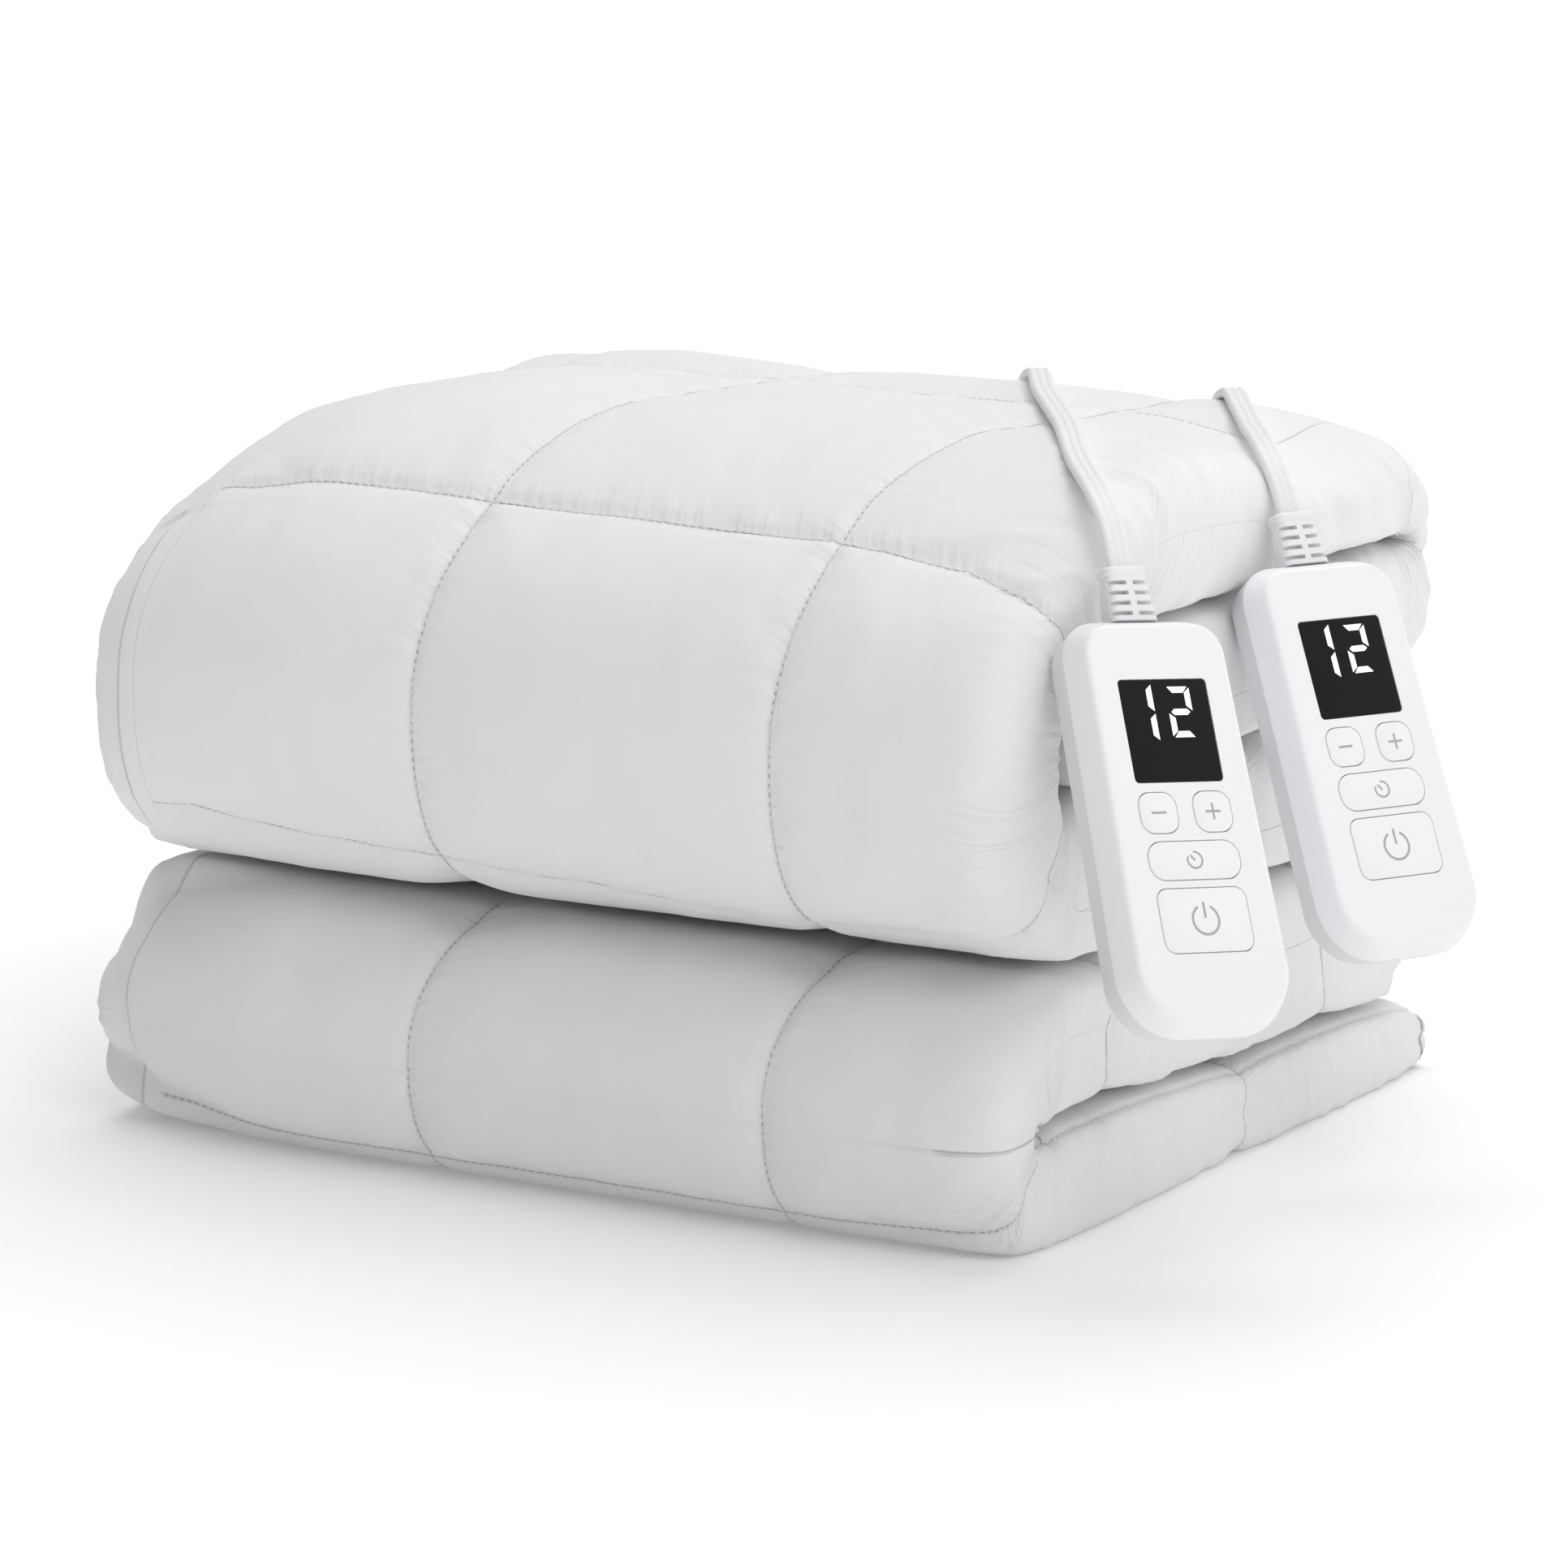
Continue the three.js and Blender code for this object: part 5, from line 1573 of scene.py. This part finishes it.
def add_relief(name):
    size = RELIEF_SIZE

    def local(points):
        points = np.asarray(points, float)
        shift = np.array([0.0, CONTROLLER_LENGTH / 2 + FIT, -RELIEF_DEPTH])
        return controller_points(name, points + shift)

    def ring(width, thickness, y):
        return [(x, y, z) for x, z in rounded_outline(width, thickness, size["corner"], 6)]

    collar = size["length"] - size["collar"]
    grow = size["grow"]
    top_width, top_thickness = size["top"]
    rings = [
        ring(*size["base"], 0.0), ring(top_width, top_thickness, collar),
        ring(top_width + grow, top_thickness + grow, collar + grow / 2),
        ring(top_width + grow, top_thickness + grow, size["length"] - grow),
        ring(top_width - grow, top_thickness - grow, size["length"]),
    ]
    count = len(rings[0])
    relief = new_piece(f"{name}_relief", local([p for r in rings for p in r]), loft_faces(len(rings), count),
                       [STRAIN_RELIEF])
    facing_out(relief)
    slots = []
    for row in range(size["rows"]):
        y = size["first"] + row * size["pitch"]
        t = y / collar
        width = size["base"][0] + (top_width - size["base"][0]) * t
        thickness = size["base"][1] + (top_thickness - size["base"][1]) * t
        front, back = y - size["slot"] / 2, y + size["slot"] / 2
        for side, face in ((-1, -1), (-1, 1), (1, -1), (1, 1)):
            xs = sorted((side * size["spine"] / 2, side * (size["spine"] / 2 + width)))
            zs = sorted((face * (thickness / 2 - size["depth"]), face * (thickness / 2 + size["depth"])))
            slots.append(box_shape((xs[0], front, zs[0]), (xs[1], back, zs[1])))
    cut_by(relief, slots, local)
    relief.data.shade_smooth()
    soften(relief, SMALL_ROUNDING)
    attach(relief, BODY)
    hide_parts(f"{name}_strain_relief")


# The connector on a cord's far end: a moulded body with grips, a neck and three contact holes. Each ring
# is measured from its front, from where its body ends or from the end of its neck: how far on it is, its
# width, its lower and upper height and its corners
CONNECTOR_BODY = 34.0
CONNECTOR_HEIGHT = 11.0
CONNECTOR_RINGS = (
    ("front", 0.0, 19.6, 1.2, 9.8, 2.4), ("front", 0.8, 21.4, 0.3, 10.7, 3.0),
    ("front", 1.8, 22.0, 0.0, 11.0, 3.2), ("body", -8.0, 22.0, 0.0, 11.0, 3.2),
    ("body", -3.0, 20.6, 0.0, 10.6, 3.2), ("body", -0.6, 15.4, 0.0, 9.0, 2.6),
    ("body", 0.8, 12.0, 0.2, 8.0, 2.2), ("neck", -0.8, 10.8, 0.4, 8.0, 2.0),
    ("neck", 0.0, 9.6, 0.9, 7.4, 1.8),
)
GRIPS = {"count": 6, "from": 12.0, "pitch": 2.4, "width": 1.1, "reach": (10.3, 12.0), "margin": 2.2}
CONTACT_HOLES = {"pitch": 5.4, "width": 3.2, "corner": 1.59, "reach": (-1.0, 9.0)}


def add_connector(name):
    low, high = (np.array(v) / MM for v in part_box(f"{name}_connector"))
    middle_y = (low[1] + high[1]) / 2
    ends = {"front": low[0], "body": low[0] + CONNECTOR_BODY, "neck": high[0]}

    def local(points):
        return np.asarray(points, float) * MM

    def ring(end, on, width, bottom, top, corner):
        outline = rounded_outline(width, top - bottom, corner, 5)
        return [(ends[end] + on, middle_y + p, (top + bottom) / 2 + q) for p, q in outline]

    rings = [ring(*row) for row in CONNECTOR_RINGS]
    plug = new_piece(f"{name}_plug", local([p for r in rings for p in r]),
                     loft_faces(len(rings), len(rings[0])), [PLUG])
    facing_out(plug)
    cuts = []
    for k in range(GRIPS["count"]):
        x = low[0] + GRIPS["from"] + GRIPS["pitch"] * k
        for side in (-1, 1):
            ys = sorted(middle_y + side * reach for reach in GRIPS["reach"])
            top = CONNECTOR_HEIGHT - GRIPS["margin"]
            cuts.append(box_shape((x, ys[0], GRIPS["margin"]), (x + GRIPS["width"], ys[1], top)))
    for k in (-1, 0, 1):
        width = CONTACT_HOLES["width"]
        middle = (middle_y + CONTACT_HOLES["pitch"] * k, CONNECTOR_HEIGHT / 2)
        hole = rounded_outline(width, width, CONTACT_HOLES["corner"], 4, middle)
        points = [(low[0] + x, y, z) for x in CONTACT_HOLES["reach"] for y, z in hole]
        cuts.append((points, loft_faces(2, len(hole))))
    cut_by(plug, cuts, local)
    plug.data.shade_smooth()
    soften(plug, SMALL_ROUNDING)
    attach(plug, BODY)
    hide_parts(f"{name}_connector")
    return plug


# Floor and lights: a pale floor that glows farther out, in a room that is brighter behind and to the right
ROOM_BRIGHT_WAY = (0.8, 0.6, 0.0)
ROOM_DIM = 0.15
ROOM_BRIGHT = 0.62
FLOOR_HALF = 30.0
FLOOR_WHITE = (0.88, 0.88, 0.88, 1.0)
FLOOR_SHADE = (0.86, 0.86, 0.86, 1.0)
GLOW_NEAR = (0.13, 0.13, 0.13, 1.0)
GLOW_FAR = (0.7, 0.7, 0.7, 1.0)
GLOW_FROM = 0.2
GLOW_FULL = 1.1
# Each light: its place, what it is aimed at, its size in metres and its power in watts
LIGHTS = {
    "overhead": {"at": (-0.3, 0.7, 2.4), "towards": (0.0, 0.0, 0.1), "size": 2.4, "power": 32.0},
    "right": {"at": (2.6, 0.5, 1.2), "towards": (0.05, 0.0, 0.1), "size": 1.8, "power": 2.5},
    "key": {"at": (1.38, -1.16, 2.15), "towards": (0.05, 0.0, 0.12), "size": 1.3, "power": 13.5},
}


def add_floor():
    corners = [(x * FLOOR_HALF, y * FLOOR_HALF, 0.0) for x, y in ((-1, -1), (1, -1), (1, 1), (-1, 1))]
    floor = new_piece("floor", corners, [(0, 1, 2, 3)], [])
    finish = Finish("floor_white")
    place_on = finish.place()
    grain = finish.noise(place_on, 3.0, 2.0)
    x, y, _ = finish.parts(place_on)
    away = (x * x + y * y).root()
    glow = finish.eased(away, GLOW_FROM, GLOW_FULL, 0.0, 1.0)
    finish.surface(
        Base_Color=finish.blend(grain * 0.3, FLOOR_WHITE, FLOOR_SHADE),
        Roughness=0.9,
        Emission_Color=finish.blend(glow, GLOW_NEAR, GLOW_FAR),
        Emission_Strength=1.0,
        Specular_IOR_Level=0.0,
    )
    floor.data.materials.append(finish.material)


def add_room():
    world = bpy.data.worlds.new("studio")
    bpy.context.scene.world = world
    world.use_nodes = True
    tree = NodeTree(world.node_tree)
    background = tree.nodes["Background"]
    way = tree.node("ShaderNodeTexCoord", output="Generated")
    facing = tree.node(
        "ShaderNodeVectorMath", {"operation": "DOT_PRODUCT"}, {0: way, 1: ROOM_BRIGHT_WAY}, output="Value",
    )
    tree.feed(background.inputs["Strength"], tree.eased(facing, -1.0, 0.5, ROOM_DIM, ROOM_BRIGHT))
    background.inputs["Color"].default_value = (1.0, 1.0, 1.0, 1.0)


def add_lights():
    for name, lamp in LIGHTS.items():
        data = bpy.data.lights.new(name, "AREA")
        data.shape = "SQUARE"
        data.size = lamp["size"]
        data.energy = lamp["power"]
        light = bpy.data.objects.new(name, data)
        light.location = lamp["at"]
        back = Vector(lamp["at"]) - Vector(lamp["towards"])
        light.rotation_euler = back.to_track_quat("Z", "Y").to_euler()
        bpy.context.scene.collection.objects.link(light)
    bpy.context.scene.view_settings.view_transform = "Standard"


add_camera()
add_floor()
add_room()
add_lights()
for name in CONTROLLERS:
    cord, path, length = add_cord(name)
    plug = add_connector(name)
pad_field, pad_points, pad_normals = add_pad()
add_stitches(seam_lines(pad_field, pad_points, pad_normals))
for name in CONTROLLERS:
    add_housing(name)
    add_display(name)
    for kind in KEYS:
        add_key(name, kind)
    add_relief(name)
